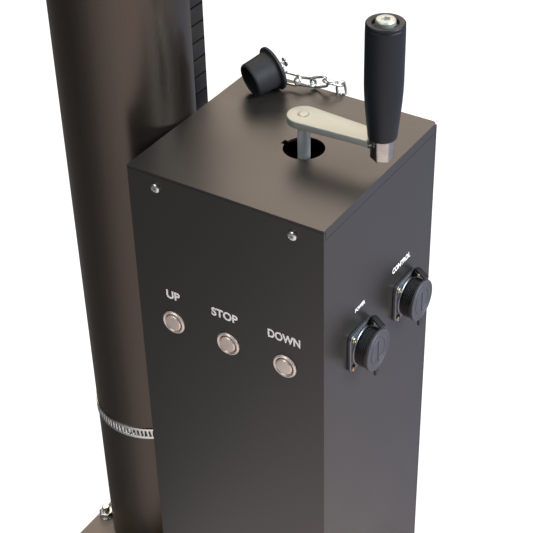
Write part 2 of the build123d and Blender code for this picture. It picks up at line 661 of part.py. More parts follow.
def make_box():
    """Shell, back panel, lid and the screws that hold them."""
    left, right = BOX_LEFT, BOX_RIGHT
    front, back = BOX_FRONT_Y, BOX_BACK_Y
    under_lid = LID_TOP - SHEET - LID_SEAM
    seam = LID_TOP - LID_FLANGE - LID_SEAM
    shell_back = back - SHEET - LID_SEAM / 2

    shell = block(left, right, front, shell_back, PLATE_TOP, under_lid)
    shell -= block(left + SHEET, right - SHEET, front + SHEET, back, PLATE_TOP - 1, LID_TOP)
    for side in (left, right - SHEET):
        shell -= block(side - 1, side + SHEET + 1, front + SHEET, back, seam, LID_TOP)
    inner_left = left + SHEET
    inner_right = right - SHEET
    strip_z = seam - 12
    for x0 in (inner_left, inner_right - SHEET):
        shell += block(x0, x0 + SHEET, front + SHEET, shell_back, strip_z, under_lid)
    for x0, x1 in ((inner_left, left + HEM), (right - HEM, inner_right)):
        shell += block(x0, x1, shell_back - SHEET, shell_back, PLATE_TOP, under_lid)
        shell += block(x0, x1, front + SHEET, shell_back, PLATE_TOP, PLATE_TOP + SHEET)
    shell += block(inner_left, inner_right, front, front + HEM, PLATE_TOP, PLATE_TOP + SHEET)

    panel = block(left, right, back - SHEET, back, PLATE_TOP + LID_SEAM, under_lid)

    lid = block(left, right, front, back, LID_TOP - SHEET, LID_TOP)
    lid_back = lid.edges().filter_by(Axis.Z).group_by(Axis.Y)[-1]
    lid = fillet(lid_back, LID_CORNER_R)
    flange_thick = SHEET - LID_SEAM / 2
    for x0 in (left, right - flange_thick):
        skirt = block(x0, x0 + flange_thick, front + SHEET + LID_SEAM, back - SHEET - LID_SEAM,
                      LID_TOP - LID_FLANGE, LID_TOP - 0.5)
        lid += skirt
    tab_in = 2 * SHEET + 2 * LID_SEAM
    for y0 in (front + SHEET + LID_SEAM, back - tab_in):
        lid += block(left + HEM + 1, right - HEM - 1, y0, y0 + SHEET - LID_SEAM,
                     LID_TOP - LID_TAB, LID_TOP - 0.5)
    lid -= rod(CRANK_HOLE_R, LID_TOP - 4, LID_TOP + 1, SHAFT_X, SHAFT_Y)
    notch_x = SHAFT_X - CRANK_HOLE_R
    lid -= block(notch_x - CRANK_NOTCH, notch_x + 2, SHAFT_Y - 3, SHAFT_Y + 3,
                 LID_TOP - 4, LID_TOP + 1)

    screws = []
    for place, facing in box_screw_places():
        hole = lying(rod(BOX_SCREW_R + SEAT_GAP, -12, 1), facing, *place)
        shell -= hole
        panel -= hole
        lid -= hole
        screws.append(cap_screw(BOX_SCREW_R, BOX_SCREW_HEAD_R, BOX_SCREW_HEAD,
                                BOX_SCREW_LENGTH, facing, *place))
    for x in BUTTON_X:
        hole = rod(BUTTON_THREAD_R + SEAT_GAP, -SHEET - 1, 1)
        shell -= lying(hole, (0, -1, 0), left + x, front, CONTROL_Z)
    for y in CONNECTOR_Y:
        centre = front + y
        shell -= lying(rod(BARREL_R + 0.5, -SHEET - 1, 1), (1, 0, 0), right, centre, CONTROL_Z)
        for place in flange_corners(centre):
            hole = rod(CONNECTOR_SCREW_R + SEAT_GAP, -SHEET - 1, 1)
            shell -= lying(hole, (1, 0, 0), right, *place)
    anchor = anchor_place()
    panel -= lying(rod(BOX_SCREW_R + SEAT_GAP, -6, 1), (0, 1, 0), *anchor)
    stand_off = LINK_WIRE + ANCHOR_STAND
    screws.append(cap_screw(BOX_SCREW_R, BOX_SCREW_HEAD_R, BOX_SCREW_HEAD, stand_off + 2.4,
                            (0, 1, 0), anchor[0], anchor[1] + stand_off, anchor[2]))
    save("box_shell", shell)
    save("back_panel", panel)
    save("lid", lid)
    save("box_screws", screws)


def flange_corners(centre):
    """The four screw places of a connector flange, as y and z."""
    half = FLANGE_SCREWS / 2
    for side_y in (-1, 1):
        for side_z in (-1, 1):
            yield centre + side_y * half, CONTROL_Z + side_z * half


def make_buttons():
    """Three push buttons: a threaded body, its nut and a cap that travels in it."""
    nuts = []
    for name, x in zip(("up", "stop", "down"), BUTTON_X):
        place = (BOX_LEFT + x, BOX_FRONT_Y, CONTROL_Z)
        body = rod(BEZEL_R, 0, BEZEL_PROUD)
        body = chamfer(body.edges().sort_by(Axis.Z)[-1], 1.0)
        body += rod(BUTTON_THREAD_R, -BUTTON_LENGTH, 1)
        body -= rod(BUTTON_BORE_R, -BUTTON_LENGTH + 3, BEZEL_PROUD + 1)
        save(f"{name}_button_body", lying(body, (0, -1, 0), *place))
        cap_top = BEZEL_PROUD - BUTTON_SINK
        cap = rod(BUTTON_CAP_R, cap_top - BUTTON_CAP, cap_top)
        cap = chamfer(cap.edges().sort_by(Axis.Z)[-1], 0.4)
        save(f"{name}_button", lying(cap, (0, -1, 0), *place))
        nut = hexagon(BUTTON_NUT_AF, -SHEET - BUTTON_NUT, -SHEET)
        nut -= rod(BUTTON_THREAD_R + SEAT_GAP, -BUTTON_LENGTH, 1)
        nuts.append(lying(nut, (0, -1, 0), *place))
    save("button_nuts", nuts)


def make_connectors():
    """Two flange connectors with contacts, screws, rubber caps and their straps."""
    screws = []
    for name, y in zip(("power", "control"), CONNECTOR_Y):
        centre = BOX_FRONT_Y + y
        place = (BOX_RIGHT, centre, CONTROL_Z)
        flange = extrude(RectangleRounded(FLANGE_SQUARE, FLANGE_SQUARE, 5), FLANGE_PLATE)
        flange += rod(BARREL_R, -BARREL_IN, BARREL_OUT)
        flange -= rod(SOCKET_R, -SOCKET_IN, BARREL_OUT + 1)
        for turn in range(PINS):
            angle = math.radians(360 / PINS * turn + 18)
            pin_x = PIN_RING_R * math.cos(angle)
            pin_y = PIN_RING_R * math.sin(angle)
            flange += rod(PIN_R, -SOCKET_IN - 1, BARREL_OUT - PIN_SINK, pin_x, pin_y)
        half = FLANGE_SCREWS / 2
        for side_x in (-1, 1):
            for side_y in (-1, 1):
                flange -= rod(CONNECTOR_SCREW_R + SEAT_GAP, -1, FLANGE_PLATE + 1,
                              side_x * half, side_y * half)
        save(f"{name}_connector", lying(flange, (1, 0, 0), *place))

        skirt_start = CAP_FACE - CAP_DISC - CAP_SKIRT
        cap = rod(CAP_R, CAP_FACE - CAP_DISC, CAP_FACE)
        cap = chamfer(cap.edges().sort_by(Axis.Z)[-1], 0.6)
        cap += ring(CAP_SKIRT_R, BARREL_R + SLIDE_GAP, skirt_start, CAP_FACE - CAP_DISC + 1)
        cap = lying(cap, (1, 0, 0), *place)
        tab_x = BOX_RIGHT + CAP_FACE - CAP_DISC
        low = CONTROL_Z - CAP_R
        cap += block(tab_x, tab_x + CAP_DISC - 0.8, centre - CAP_TAB_HALF, centre + CAP_TAB_HALF,
                     low - CAP_TAB, low + CAP_TAB_HALF)
        save(f"{name}_cap", cap)
        save(f"{name}_cap_strap", cap_strap(centre))
        for screw_y, screw_z in flange_corners(centre):
            at_strap = screw_y > centre and screw_z > CONTROL_Z
            lift = STRAP_THICK if at_strap else 0.0
            start = BOX_RIGHT + FLANGE_PLATE + lift
            screws.append(cap_screw(CONNECTOR_SCREW_R, CONNECTOR_HEAD_R, CONNECTOR_HEAD, 9 + lift,
                                    (1, 0, 0), start, screw_y, screw_z))
    save("connector_screws", screws)


def cap_strap(centre):
    """A flat strap from the flange's upper rear screw, over the barrel, to the cap's rim."""
    half = FLANGE_SCREWS / 2
    start_x = BOX_RIGHT + FLANGE_PLATE
    strap = extrude(Circle(STRAP_WIDTH / 2) - Circle(CONNECTOR_SCREW_R + 2 * SEAT_GAP),
                    STRAP_THICK)
    strap = lying(strap, (1, 0, 0), start_x, centre + half, CONTROL_Z + half)
    rise = CAP_R + 0.4
    end_x = BOX_RIGHT + CAP_FACE
    outer_z = CONTROL_Z + rise + STRAP_THICK
    bend = Polyline(
        (start_x, CONTROL_Z + half + 3.6),
        (start_x, outer_z + 1.2),
        (start_x + 4, outer_z + 1.2),
        (end_x, outer_z - 0.4),
        (end_x, outer_z - 0.4 - STRAP_THICK),
        (start_x + 3, outer_z + 1.2 - STRAP_THICK),
        (start_x + STRAP_THICK, outer_z - 1.2),
        (start_x + STRAP_THICK, CONTROL_Z + half + 3.6),
        close=True,
    )
    side = Plane(origin=(0, centre + half + STRAP_WIDTH / 2, 0), x_dir=(1, 0, 0), z_dir=(0, -1, 0))
    sheet = side * extrude(make_face(bend), STRAP_WIDTH)
    return strap + sheet


def anchor_place():
    """Where the plug's chain is screwed to the back panel."""
    return (BOX_LEFT + ANCHOR_X, BOX_BACK_Y, LID_TOP - ANCHOR_DOWN)


def plug_frame():
    """The plug's plane: its origin at the flange's inner face, +Z towards the open end."""
    tilt = math.atan2(PLUG_FLANGE_R - PLUG_RIM_R, PLUG_LENGTH)
    turn = math.radians(PLUG_TURN)
    flat = Vector(math.cos(turn), math.sin(turn), 0)
    axis = flat * math.cos(tilt) - Vector(0, 0, 1) * math.sin(tilt)
    rise = flat * math.sin(tilt) + Vector(0, 0, 1) * math.cos(tilt)
    contact = Vector(
        BOX_LEFT + PLUG_CONTACT[0], BOX_BACK_Y + PLUG_CONTACT[1], LID_TOP + SLIDE_GAP
    )
    return Plane(origin=contact + rise * PLUG_FLANGE_R, z_dir=axis)


def chain_link(start, end, width_dir):
    """One flat link between two joints of a chain, its width along a direction."""
    hole = SlotCenterToCenter(LINK_LENGTH - LINK_WIDTH, LINK_WIDTH - 2 * LINK_WIRE)
    outline = SlotCenterToCenter(LINK_LENGTH - LINK_WIDTH, LINK_WIDTH) - hole
    link = Pos(0, 0, -LINK_WIRE / 2) * extrude(outline, LINK_WIRE)
    along = (end - start).normalized()
    normal = along.cross(Vector(*width_dir)).normalized()
    return Plane(origin=(start + end) * 0.5, x_dir=along, z_dir=normal) * link


def make_plug():
    """The plug of the crank hole, its chain and the screw that holds the chain."""
    frame = plug_frame()
    profile = Polyline(
        (0, -PLUG_FLANGE),
        (PLUG_FLANGE_R, -PLUG_FLANGE),
        (PLUG_FLANGE_R, 0),
        (PLUG_NECK_R, 0),
        (PLUG_RIM_R, PLUG_LENGTH),
        (PLUG_RIM_R - PLUG_WALL, PLUG_LENGTH),
        (PLUG_NECK_R - PLUG_WALL, PLUG_WALL),
        (0, PLUG_WALL),
        close=True,
    )
    plug = revolve(Plane.XZ * make_face(profile), Axis.Z)
    stud = rod(STUD_R, -PLUG_FLANGE - STUD_LENGTH, -PLUG_FLANGE + 1)
    stud_end = -PLUG_FLANGE - STUD_LENGTH
    stud += rod(STUD_HEAD_R, stud_end - STUD_HEAD, stud_end)
    save("plug", frame * (plug + stud))
    save("plug_chain", chain_run(frame))


def chain_run(frame):
    """Links from the plug's stud, over the lid's back edge and down to the anchor."""
    rise = frame.z_dir.cross(Vector(0, 0, 1)).cross(frame.z_dir).normalized()
    side = frame.z_dir.cross(rise)
    hang = frame.origin - frame.z_dir * (PLUG_FLANGE + STUD_LENGTH / 2)
    inner = LINK_LENGTH / 2 - LINK_WIRE
    first_middle = hang - rise * (inner - STUD_R - 0.5)
    links = [chain_link(first_middle, first_middle - rise, side)]
    pitch = LINK_LENGTH - 2 * LINK_WIRE - LINK_SLACK
    joints = [first_middle - rise * (pitch / 2)]
    lid = Vector(BOX_LEFT, BOX_BACK_Y, LID_TOP)
    aims = (
        ((57.5, -8.9, 6.9), (-0.34, 0.15, 0.39)),
        ((61.4, -4.5, 5.8), (-0.39, 1.24, 0.37)),
        ((79.9, -3.0, 11.3), (0, 0.07, 2)),
        ((89.6, 9.4, 3.6), (0.88, -0.74, 0.22)),
        ((86.1, 10.5, -13.6), (0.22, 0.52, 0.39)),
        ((88.0, 4.3, -28.1), (1.08, 0.29, -0.19)),
    )
    for aim, width_dir in aims:
        toward = (lid + Vector(*aim) - joints[-1]).normalized()
        joints.append(joints[-1] + toward * pitch)
        links.append(chain_link(joints[-2], joints[-1], width_dir))
    return links


def make_clamp():
    """A worm-drive hose clamp round the outer tube."""
    low = LID_TOP - CLAMP_DOWN - CLAMP_BAND
    inner = OUTER_R + SEAT_GAP
    outer = inner + CLAMP_THICK
    save("clamp_band", ring(outer, inner, low, low + CLAMP_BAND))
    c = math.cos(math.radians(CLAMP_TURN))
    s = math.sin(math.radians(CLAMP_TURN))
    middle = low + CLAMP_BAND / 2
    plane = Plane(origin=(outer * c, outer * s, middle), x_dir=(-s, c, 0), z_dir=(c, s, 0))
    lift = Pos(0, 0, CLAMP_HOUSING_RISE / 2 + 0.2)
    housing = lift * Box(CLAMP_HOUSING, CLAMP_BAND + 1, CLAMP_HOUSING_RISE)
    housing = fillet(housing.edges().filter_by(Axis.X).group_by(Axis.Z)[-1], 3.5)
    worm = Rot(0, 90, 0) * Cylinder(WORM_R, WORM_LENGTH)
    channel = Rot(0, 90, 0) * Cylinder(WORM_R + 2 * SEAT_GAP, CLAMP_HOUSING + 2)
    save("clamp_housing", plane * (housing - lift * channel))
    head_x = WORM_LENGTH / 2 + 2
    head = Pos(head_x, 0, 0) * Rot(0, 90, 0) * extrude(RegularPolygon(WORM_HEAD_R, 6), WORM_HEAD)
    save("clamp_screw", plane * (lift * (Pos(2, 0, 0) * worm + head)))


def chain_piece():
    """One link of the cable chain, open at both ends, its length along Z."""
    length = CHAIN_PITCH - LINK_GAP
    outer = Box(CHAIN_HEIGHT, CHAIN_WIDTH, length)
    return outer - Box(CHAIN_HEIGHT - 2 * CHAIN_WALL, CHAIN_WIDTH - 2 * CHAIN_WALL, length + 2)


def chain_leg(x):
    """A straight run of the cable chain, hanging from CHAIN_TOP."""
    link = chain_piece()
    run = []
    for index in range(CHAIN_LINKS):
        z = CHAIN_TOP - (index + 0.5) * CHAIN_PITCH
        run.append(Pos(x, CHAIN_MID_Y, z) * link)
    return run


def make_cable_chain():
    """Fixed leg, bend and moving leg of the chain, with the brackets that hold its ends."""
    save("cable_chain_moving", chain_leg(CHAIN_FAR_X))
    centre_x = (CHAIN_X + CHAIN_FAR_X) / 2
    fixed = chain_leg(CHAIN_X)
    link = chain_piece()
    for index in range(CHAIN_BEND_LINKS):
        turn = (index + 0.5) * 180 / CHAIN_BEND_LINKS
        x = centre_x + CHAIN_BEND_R * math.cos(math.radians(turn))
        z = CHAIN_BEND_Z - CHAIN_BEND_R * math.sin(math.radians(turn))
        trimmed = link & wedge(CHAIN_BEND_R)
        fixed.append(Pos(x, CHAIN_MID_Y, z) * Rot(0, turn, 0) * trimmed)
    save("cable_chain_fixed", fixed)

    half_h = CHAIN_HEIGHT / 2
    far_y = CHAIN_NEAR_Y + CHAIN_WIDTH
    end = CHAIN_TOP + LINK_GAP
    collar_y = OUTER_R + COLLAR_WALL + SEAT_GAP
    near, far = CHAIN_X - half_h, CHAIN_X + half_h
    hook = block(near, far, collar_y, far_y, end, end + BRACKET_SHEET)
    hook += block(near, far, collar_y, collar_y + BRACKET_SHEET, end, end + BRACKET_RISE)
    save("fixed_chain_bracket", hook - cable_window(CHAIN_X, end))

    near, far = CHAIN_FAR_X - half_h, CHAIN_FAR_X + half_h
    upright = far_y + 1
    reach = upright + BRACKET_SHEET
    under = INNER_TOP - SEAT_GAP
    moving = block(near, far, CHAIN_NEAR_Y, reach, end, end + BRACKET_SHEET)
    moving += block(near, far, upright, reach, end, under)
    moving += block(near, far + BRACKET_LIP, BRACKET_IN_Y, reach, under - BRACKET_SHEET, under)
    save("moving_chain_bracket", moving - cable_window(CHAIN_FAR_X, end))


def cable_window(x, z):
    """The way for the cables through a bracket, as wide as the inside of a link."""
    half = CHAIN_HEIGHT / 2 - CHAIN_WALL
    near_y = CHAIN_NEAR_Y + CHAIN_WALL
    far_y = CHAIN_NEAR_Y + CHAIN_WIDTH - CHAIN_WALL
    return block(x - half, x + half, near_y, far_y, z - 1, z + BRACKET_SHEET + 1)


def wedge(radius):
    """Keeps a link's ends inside its share of the bend."""
    half = math.radians(90 / CHAIN_BEND_LINKS)
    near = (radius - CHAIN_HEIGHT) * math.tan(half) - LINK_GAP / 2
    far = (radius + CHAIN_HEIGHT) * math.tan(half) - LINK_GAP / 2
    outline = Polyline(
        (-CHAIN_HEIGHT, -near),
        (CHAIN_HEIGHT, -far),
        (CHAIN_HEIGHT, far),
        (-CHAIN_HEIGHT, near),
        close=True,
    )
    return extrude(Plane.XZ * make_face(outline), CHAIN_WIDTH, both=True)


def make_crank():
    """The hand crank: shaft, tapered arm, end nut, grip and its bolt."""
    x, y = SHAFT_X, SHAFT_Y
    arm_z = LID_TOP + ARM_UNDER
    arm_top = arm_z + ARM_THICK
    socket_floor = LID_TOP - SOCKET_TOP_DOWN - SOCKET_DEPTH
    hex_top = LID_TOP - SOCKET_TOP_DOWN + 2
    shaft = hexagon(CRANK_HEX, socket_floor + 1, hex_top, x, y)
    shaft += rod(CRANK_SHAFT_R, hex_top - 1, arm_top, x, y)
    save("crank_shaft", shaft)

    nut_flat = CRANK_NUT_AF / 2
    tip = CRANK_ARM - nut_flat - SEAT_GAP
    outline = make_hull(
        [
            *(Circle(ARM_HUB_R).edges()),
            *(Pos(tip - 1, 0) * Rectangle(2, 2 * ARM_TIP_HALF)).edges(),
        ]
    )
    arm = Pos(x, y, arm_z) * extrude(outline, ARM_THICK)
    arm -= rod(CRANK_SHAFT_R, arm_z - 1, arm_top + 1, x, y)
    save("crank_arm", arm)

    nut_z = LID_TOP + CRANK_NUT_UNDER
    nut_top = nut_z + CRANK_NUT_HEIGHT
    nut = hexagon(CRANK_NUT_AF, nut_z, nut_top, GRIP_X, y, 30.0)
    nut = chamfer(nut.faces().sort_by(Axis.Z)[0].edges(), 0.8)
    save("crank_nut", nut - rod(GRIP_BOLT_R, nut_z - 1, nut_top + 1, GRIP_X, y))

    save("grip", grip())
    grip_top = GRIP_Z + GRIP_HEIGHT
    head_z = grip_top - 2.5
    bolt = rod(GRIP_BOLT_R, nut_z, head_z + 1, GRIP_X, y)
    bolt += rod(GRIP_HEAD_R, head_z, head_z + GRIP_HEAD, GRIP_X, y)
    bolt = chamfer(bolt.edges().sort_by(Axis.Z)[-1], 0.9)
    bolt -= hexagon(5.0, head_z + GRIP_HEAD - 3, head_z + GRIP_HEAD + 1, GRIP_X, y)
    save("grip_bolt", bolt)


def grip():
    """The revolving grip: a slim foot that swells to a straight upper half."""
    bore = GRIP_BOLT_R + GRIP_BORE_GAP
    pocket = GRIP_HEAD_R + 1.6
    top = GRIP_HEIGHT
    foot = Line((bore, 0), (GRIP_FOOT_R - 0.8, 0))
    edge = Line(foot @ 1, (GRIP_FOOT_R, 0.8))
    side = Spline(
        edge @ 1,
        (GRIP_R - 2.2, top * 0.13),
        (GRIP_R - 0.6, top * 0.33),
        (GRIP_R, top * 0.55),
        tangents=[(0.25, 1), (0, 1)],
    )
    upper = Line(side @ 1, (GRIP_R, top - 2))
    round_over = RadiusArc(upper @ 1, (GRIP_R - 2, top), -2)
    face = Line(round_over @ 1, (pocket, top))
    pocket_wall = Line(face @ 1, (pocket, top - 3))
    pocket_floor = Line(pocket_wall @ 1, (bore, top - 3))
    inside = Line(pocket_floor @ 1, (bore, 0))
    lines = foot + edge + side + upper + round_over + face + pocket_wall + pocket_floor + inside
    body = revolve(Plane.XZ * make_face(lines), Axis.Z)
    return Pos(GRIP_X, SHAFT_Y, GRIP_Z) * body


def main():
    os.makedirs("parts", exist_ok=True)
    make_base()
    make_outer_section()
    make_middle_section()
    make_inner_section()
    make_screws()
    make_gears()
    make_drive()
    make_box()
    make_buttons()
    make_connectors()
    make_plug()
    make_clamp()
    make_cable_chain()
    make_crank()


main()
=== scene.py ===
"""Looks of the electric telescopic mast: its drive box, crank, connectors and cable chain.

The object's lengths are written in millimetres and become metres where a mesh is made. The light,
the floor and the camera are in metres. The frame is the CAD part's own: the mast's axis is the Z
axis, and the box stands beside it along +X.
"""

import math

import bmesh
import bpy
import numpy as np
from mathutils import Matrix, Vector


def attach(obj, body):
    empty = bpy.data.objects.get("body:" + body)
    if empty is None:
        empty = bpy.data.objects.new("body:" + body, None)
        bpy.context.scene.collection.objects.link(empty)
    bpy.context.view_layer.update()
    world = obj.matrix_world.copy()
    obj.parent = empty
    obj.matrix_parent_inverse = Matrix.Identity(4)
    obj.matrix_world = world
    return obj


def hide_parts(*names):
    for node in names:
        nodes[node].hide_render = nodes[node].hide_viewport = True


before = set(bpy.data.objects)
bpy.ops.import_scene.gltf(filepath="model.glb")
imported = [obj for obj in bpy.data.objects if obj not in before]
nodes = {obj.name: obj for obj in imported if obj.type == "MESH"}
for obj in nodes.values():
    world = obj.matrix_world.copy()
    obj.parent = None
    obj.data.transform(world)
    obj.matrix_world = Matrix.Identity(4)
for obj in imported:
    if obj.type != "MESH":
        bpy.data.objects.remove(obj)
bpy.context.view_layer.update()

MM = 0.001
PI = math.pi
SHARP_ANGLE = 32.0

# Ways in which a piece can face
RIGHT = (1, 0, 0)
FRONT = (0, -1, 0)
BACK = (0, 1, 0)

# The box and its base
BOX_LEFT = 58.5
BOX_RIGHT = 238.5
BOX_FRONT = -79.0
BOX_BACK = 101.0
BOX_FOOT = 48.0
BOX_HEIGHT = 500.0
LID_TOP = BOX_FOOT + BOX_HEIGHT
BASE_BOLT_X = (-56, 248)
BASE_BOLT_GAP = 64
BASE_BOLT_ACROSS = 13
BASE_BOLT_TURN = 7
WASHER_R = 7.4
WASHER_TOP = 49.6
BASE_BOLT_R = 3.9
BASE_BOLT_TOP = 62.0

# Screws: each head is its radius, its rise and the depth of its recess, and its turn is the way
# in which one arm of the recess points
BOX_SCREW = (4.0, 2.4, 1.3)
BOX_SCREW_TURN = (0.96, 0, 0.28)
LID_SCREW_IN = 27
LID_SCREW_DOWN = 13
PANEL_SCREW_IN = 8.5
PANEL_SCREW_SHARES = (0.08, 0.5, 0.86)
ANCHOR_IN = 87
ANCHOR_DOWN = 19.5
ANCHOR_STAND = 9.4
FLANGE_SCREW = (2.9, 1.8, 1.0)
FLANGE_SCREW_TURN = (0, 0.9, 0.43)
FLANGE_SCREW_OUT = 14.5

# Buttons, connectors and caps
CONTROL_Z = 404.0
BUTTON_X = {"up": 93.5, "stop": 148.0, "down": 202.5}
BEZEL_R = 10.8
BEZEL_BORE_R = 8.1
BEZEL_BARREL_R = 9.4
BEZEL_LENGTH = 20
PUSHCAP_R = 7.5
PUSHCAP_FOOT = -8.6
CONNECTOR_Y = {"power": -24.0, "control": 52.0}
FLANGE_SIDE = 37
FLANGE_THICK = 3.5
EYE_TOP = 5.5
BOSS_R = 17.3
SOCKET_R = 13.2
BARREL_R = 15.5
GROOVE_R = 14.7
GROOVE_GAP = 1.5
BARREL_TOP = 14.5
PIN_COUNT = 5
PIN_R = 1.2
PIN_RING_R = 7
CAP_R = 18.5
CAP_TOP = 19.0
CAP_FACE = 18.4
CAP_BACK = 16.0
SKIRT_INNER_R = 15.7
SKIRT_RIB_R = 17.4
SKIRT_GROOVE_R = 16.8
SKIRT_FOOT = 7.1

# Lettering
LETTER_RISE = 0.12
BUTTON_WORDS = (("UP", 35.8, 13.6), ("STOP", 86.8, 25.4), ("DOWN", 143.4, 30.2))
BUTTON_WORDS_DOWN = 116
BUTTON_WORDS_HIGH = 8.4
CONNECTOR_WORDS = (("POWER", 56.5, 107, 15.5, 3.9), ("CONTROL", 126, 108, 31, 5.4))

# The crank and its grip
CRANK = (166.0, 12.0)
CRANK_ARM = 70.0
SHAFT_FOOT = 470
SHAFT_R = 5.2
ARM_FOOT = 573
ARM_TOP = 579
ARM_HUB_R = 13.5
ARM_TIP_HALF = 9.6
BEAD_R = 1.7
NUT_FOOT = 561.5
NUT_TOP = 579.5
NUT_ACROSS = 16
GRIP_FOOT = 579.8
GRIP_LENGTH = 96.5
GRIP_R = 15.0
GRIP_GROOVE_R = 14.2
GRIP_BORE_R = 5.3
GRIP_SWELL = 52
GRIP_SWELL_FROM = 11.3
BOLT_HEAD_R = 7.7

# The plug and its chain: the pitch follows from the wire of the CAD part's links, and the round
# wire is drawn a little thicker
PLUG_FLANGE_R = 19.5
PLUG_END_R = 14.6
PLUG_LENGTH = 22.0
PLUG_TURN = -117.0
LINK_LENGTH = 20.0
LINK_WIDTH = 11.0
LINK_WIRE = 2.0
LINK_WIRE_R = 1.15
LINK_SLACK = 2.6
STUD_MIDDLE = 8.5
STUD_ROOM = 2.0

# The mast's tube and the hose clamp round it
OUTER_R = 57.0
CLAMP_DOWN = 320.6
CLAMP_WIDTH = 12.7
CLAMP_INNER_R = OUTER_R + 0.15
CLAMP_OUTER_R = OUTER_R + 0.95
CLAMP_SLOTS = 96
SLOT_DEPTH = 0.6
SLOT_SHARE = 0.45
SLOT_STEPS = 8
# The radius of a black strip under the band: painted shade at the bottom of the slots
SLOT_SHADE_R = 57.45

# The cable chain
CHAIN_TOP = 905.0
CHAIN_PITCH = 16.5
CHAIN_WIDTH = 24.0
CHAIN_COUNT = 42
CHAIN_BEND_LINKS = 6
CHAIN_NEAR_X = 12.5
CHAIN_Y = 76.0
CHAIN_PLATE = 2.6
CHAIN_HALF_DEPTH = 8.0
CHAIN_END_IN = 1.2


# Points and faces

def turned(shape, origin=(0, 0, 0), out=(0, 0, 1), right=None):
    """A shape in its own mm becomes the part's metres: its z runs along out, its x along right
    made square to out, and its y along the cross product of the two."""
    points, faces = shape
    z = np.asarray(out, float) / np.linalg.norm(out)
    if right is None:
        right = RIGHT if abs(z[0]) < 0.9 else BACK
    x = np.asarray(right, float) - z * np.dot(right, z)
    x = x / np.linalg.norm(x)
    y = np.cross(z, x)
    placed = np.asarray(points, float) @ np.stack([x, y, z]) + np.asarray(origin, float)
    return placed * MM, faces


def grid_faces(rows, columns, close=False):
    """Quads between neighbouring rows of a grid whose columns go all round. With close, the last
    row is joined to the first as well."""
    i = np.arange(rows if close else rows - 1)
    j = np.arange(columns)
    i, j = (a.ravel() for a in np.meshgrid(i, j, indexing="ij"))
    k, m = (i + 1) % rows, (j + 1) % columns
    return np.stack([i * columns + j, i * columns + m, k * columns + m, k * columns + j], 1)


def capped_faces(rows, columns):
    """The same quads, with one face across the first row and one across the last."""
    first, last = range(columns), range((rows - 1) * columns, rows * columns)
    return grid_faces(rows, columns).tolist() + [list(first)[::-1], list(last)]


def rounded(points, radius, steps=4):
    """An open line of corners whose inner corners become arcs: each arc is tangent to both runs,
    and its radius is cut down where a run is too short for it. An arc is a quadratic curve whose
    middle point weighs the sine of half the corner's angle."""
    points = np.asarray(points, float)
    a, b, c = points[:-2], points[1:-1], points[2:]
    to_a, to_c = a - b, c - b
    long_a = np.linalg.norm(to_a, axis=1, keepdims=True)
    long_c = np.linalg.norm(to_c, axis=1, keepdims=True)
    to_a, to_c = to_a / long_a, to_c / long_c
    half = np.arccos(np.clip((to_a * to_c).sum(1, keepdims=True), -0.9999, 0.9999)) / 2
    reach = np.minimum(radius / np.tan(half), 0.48 * np.minimum(long_a, long_c))
    start, end = b + to_a * reach, b + to_c * reach
    t = np.linspace(0, 1, steps + 1)[None, :, None]
    middle = np.sin(half)[:, None]
    weight = 1 - 2 * t * (1 - t) * (1 - middle)
    curve = (start[:, None] * (1 - t) ** 2 + 2 * b[:, None] * middle * t * (1 - t)
             + end[:, None] * t**2) / weight
    return np.concatenate([points[:1], curve.reshape(-1, points.shape[1]), points[-1:]])


def spun(profile, steps):
    """A line of radius and height carried once round the z axis."""
    profile = np.asarray(profile, float)
    turn = np.linspace(0, 2 * PI, steps, endpoint=False)
    radius, height = profile[:, :1], profile[:, 1:]
    grid = np.stack([radius * np.cos(turn), radius * np.sin(turn), height + 0 * turn], 2)
    return grid.reshape(-1, 3), grid_faces(len(profile), steps)


def slab(outline, low, high, edge, steps=3):
    """A plate with rounded edges: a closed outline raised from low to high, which at its bottom
    and top is drawn in along its own normals by a quarter circle of radius edge."""
    outline = np.asarray(outline, float)
    ahead = np.roll(outline, -1, 0) - np.roll(outline, 1, 0)
    normal = np.stack([ahead[:, 1], -ahead[:, 0]], 1)
    normal /= np.linalg.norm(normal, axis=1, keepdims=True)
    turn = np.linspace(0, PI / 2, steps + 1)
    inset = np.concatenate([edge * (1 - np.sin(turn)), edge * (1 - np.cos(turn))])
    height = np.concatenate([low + edge * (1 - np.cos(turn)), high - edge * (1 - np.sin(turn))])
    flat = outline[None] - normal[None] * inset[:, None, None]
    rise = np.broadcast_to(height[:, None, None], (*flat.shape[:2], 1))
    rings = np.concatenate([flat, rise], 2)
    return rings.reshape(-1, 3), capped_faces(*rings.shape[:2])


def arc(centre, radius, start, end, steps):
    """Points on a circle's arc, its angles in degrees."""
    turn = np.radians(np.linspace(start, end, steps + 1))
    return np.stack([centre[0] + radius * np.cos(turn), centre[1] + radius * np.sin(turn)], 1)


def rounded_square(side, radius):
    """A square's outline: four arcs, one about each corner's centre."""
    half = side / 2 - radius
    corners = ((half, half, 0), (-half, half, 90), (-half, -half, 180), (half, -half, 270))
    return np.concatenate([arc((x, y), radius, s, s + 90, 6) for x, y, s in corners])


def hexagon(across_flats, start):
    """Six corners on a circle, with four points on each side so that its edges round evenly."""
    turn = np.radians(start) + np.arange(6) * PI / 3
    corner = across_flats / math.sqrt(3) * np.stack([np.cos(turn), np.sin(turn)], 1)
    share = np.array([0.03, 0.35, 0.65, 0.97])[None, :, None]
    return (corner[:, None] * (1 - share) + np.roll(corner, -1, 0)[:, None] * share).reshape(-1, 2)


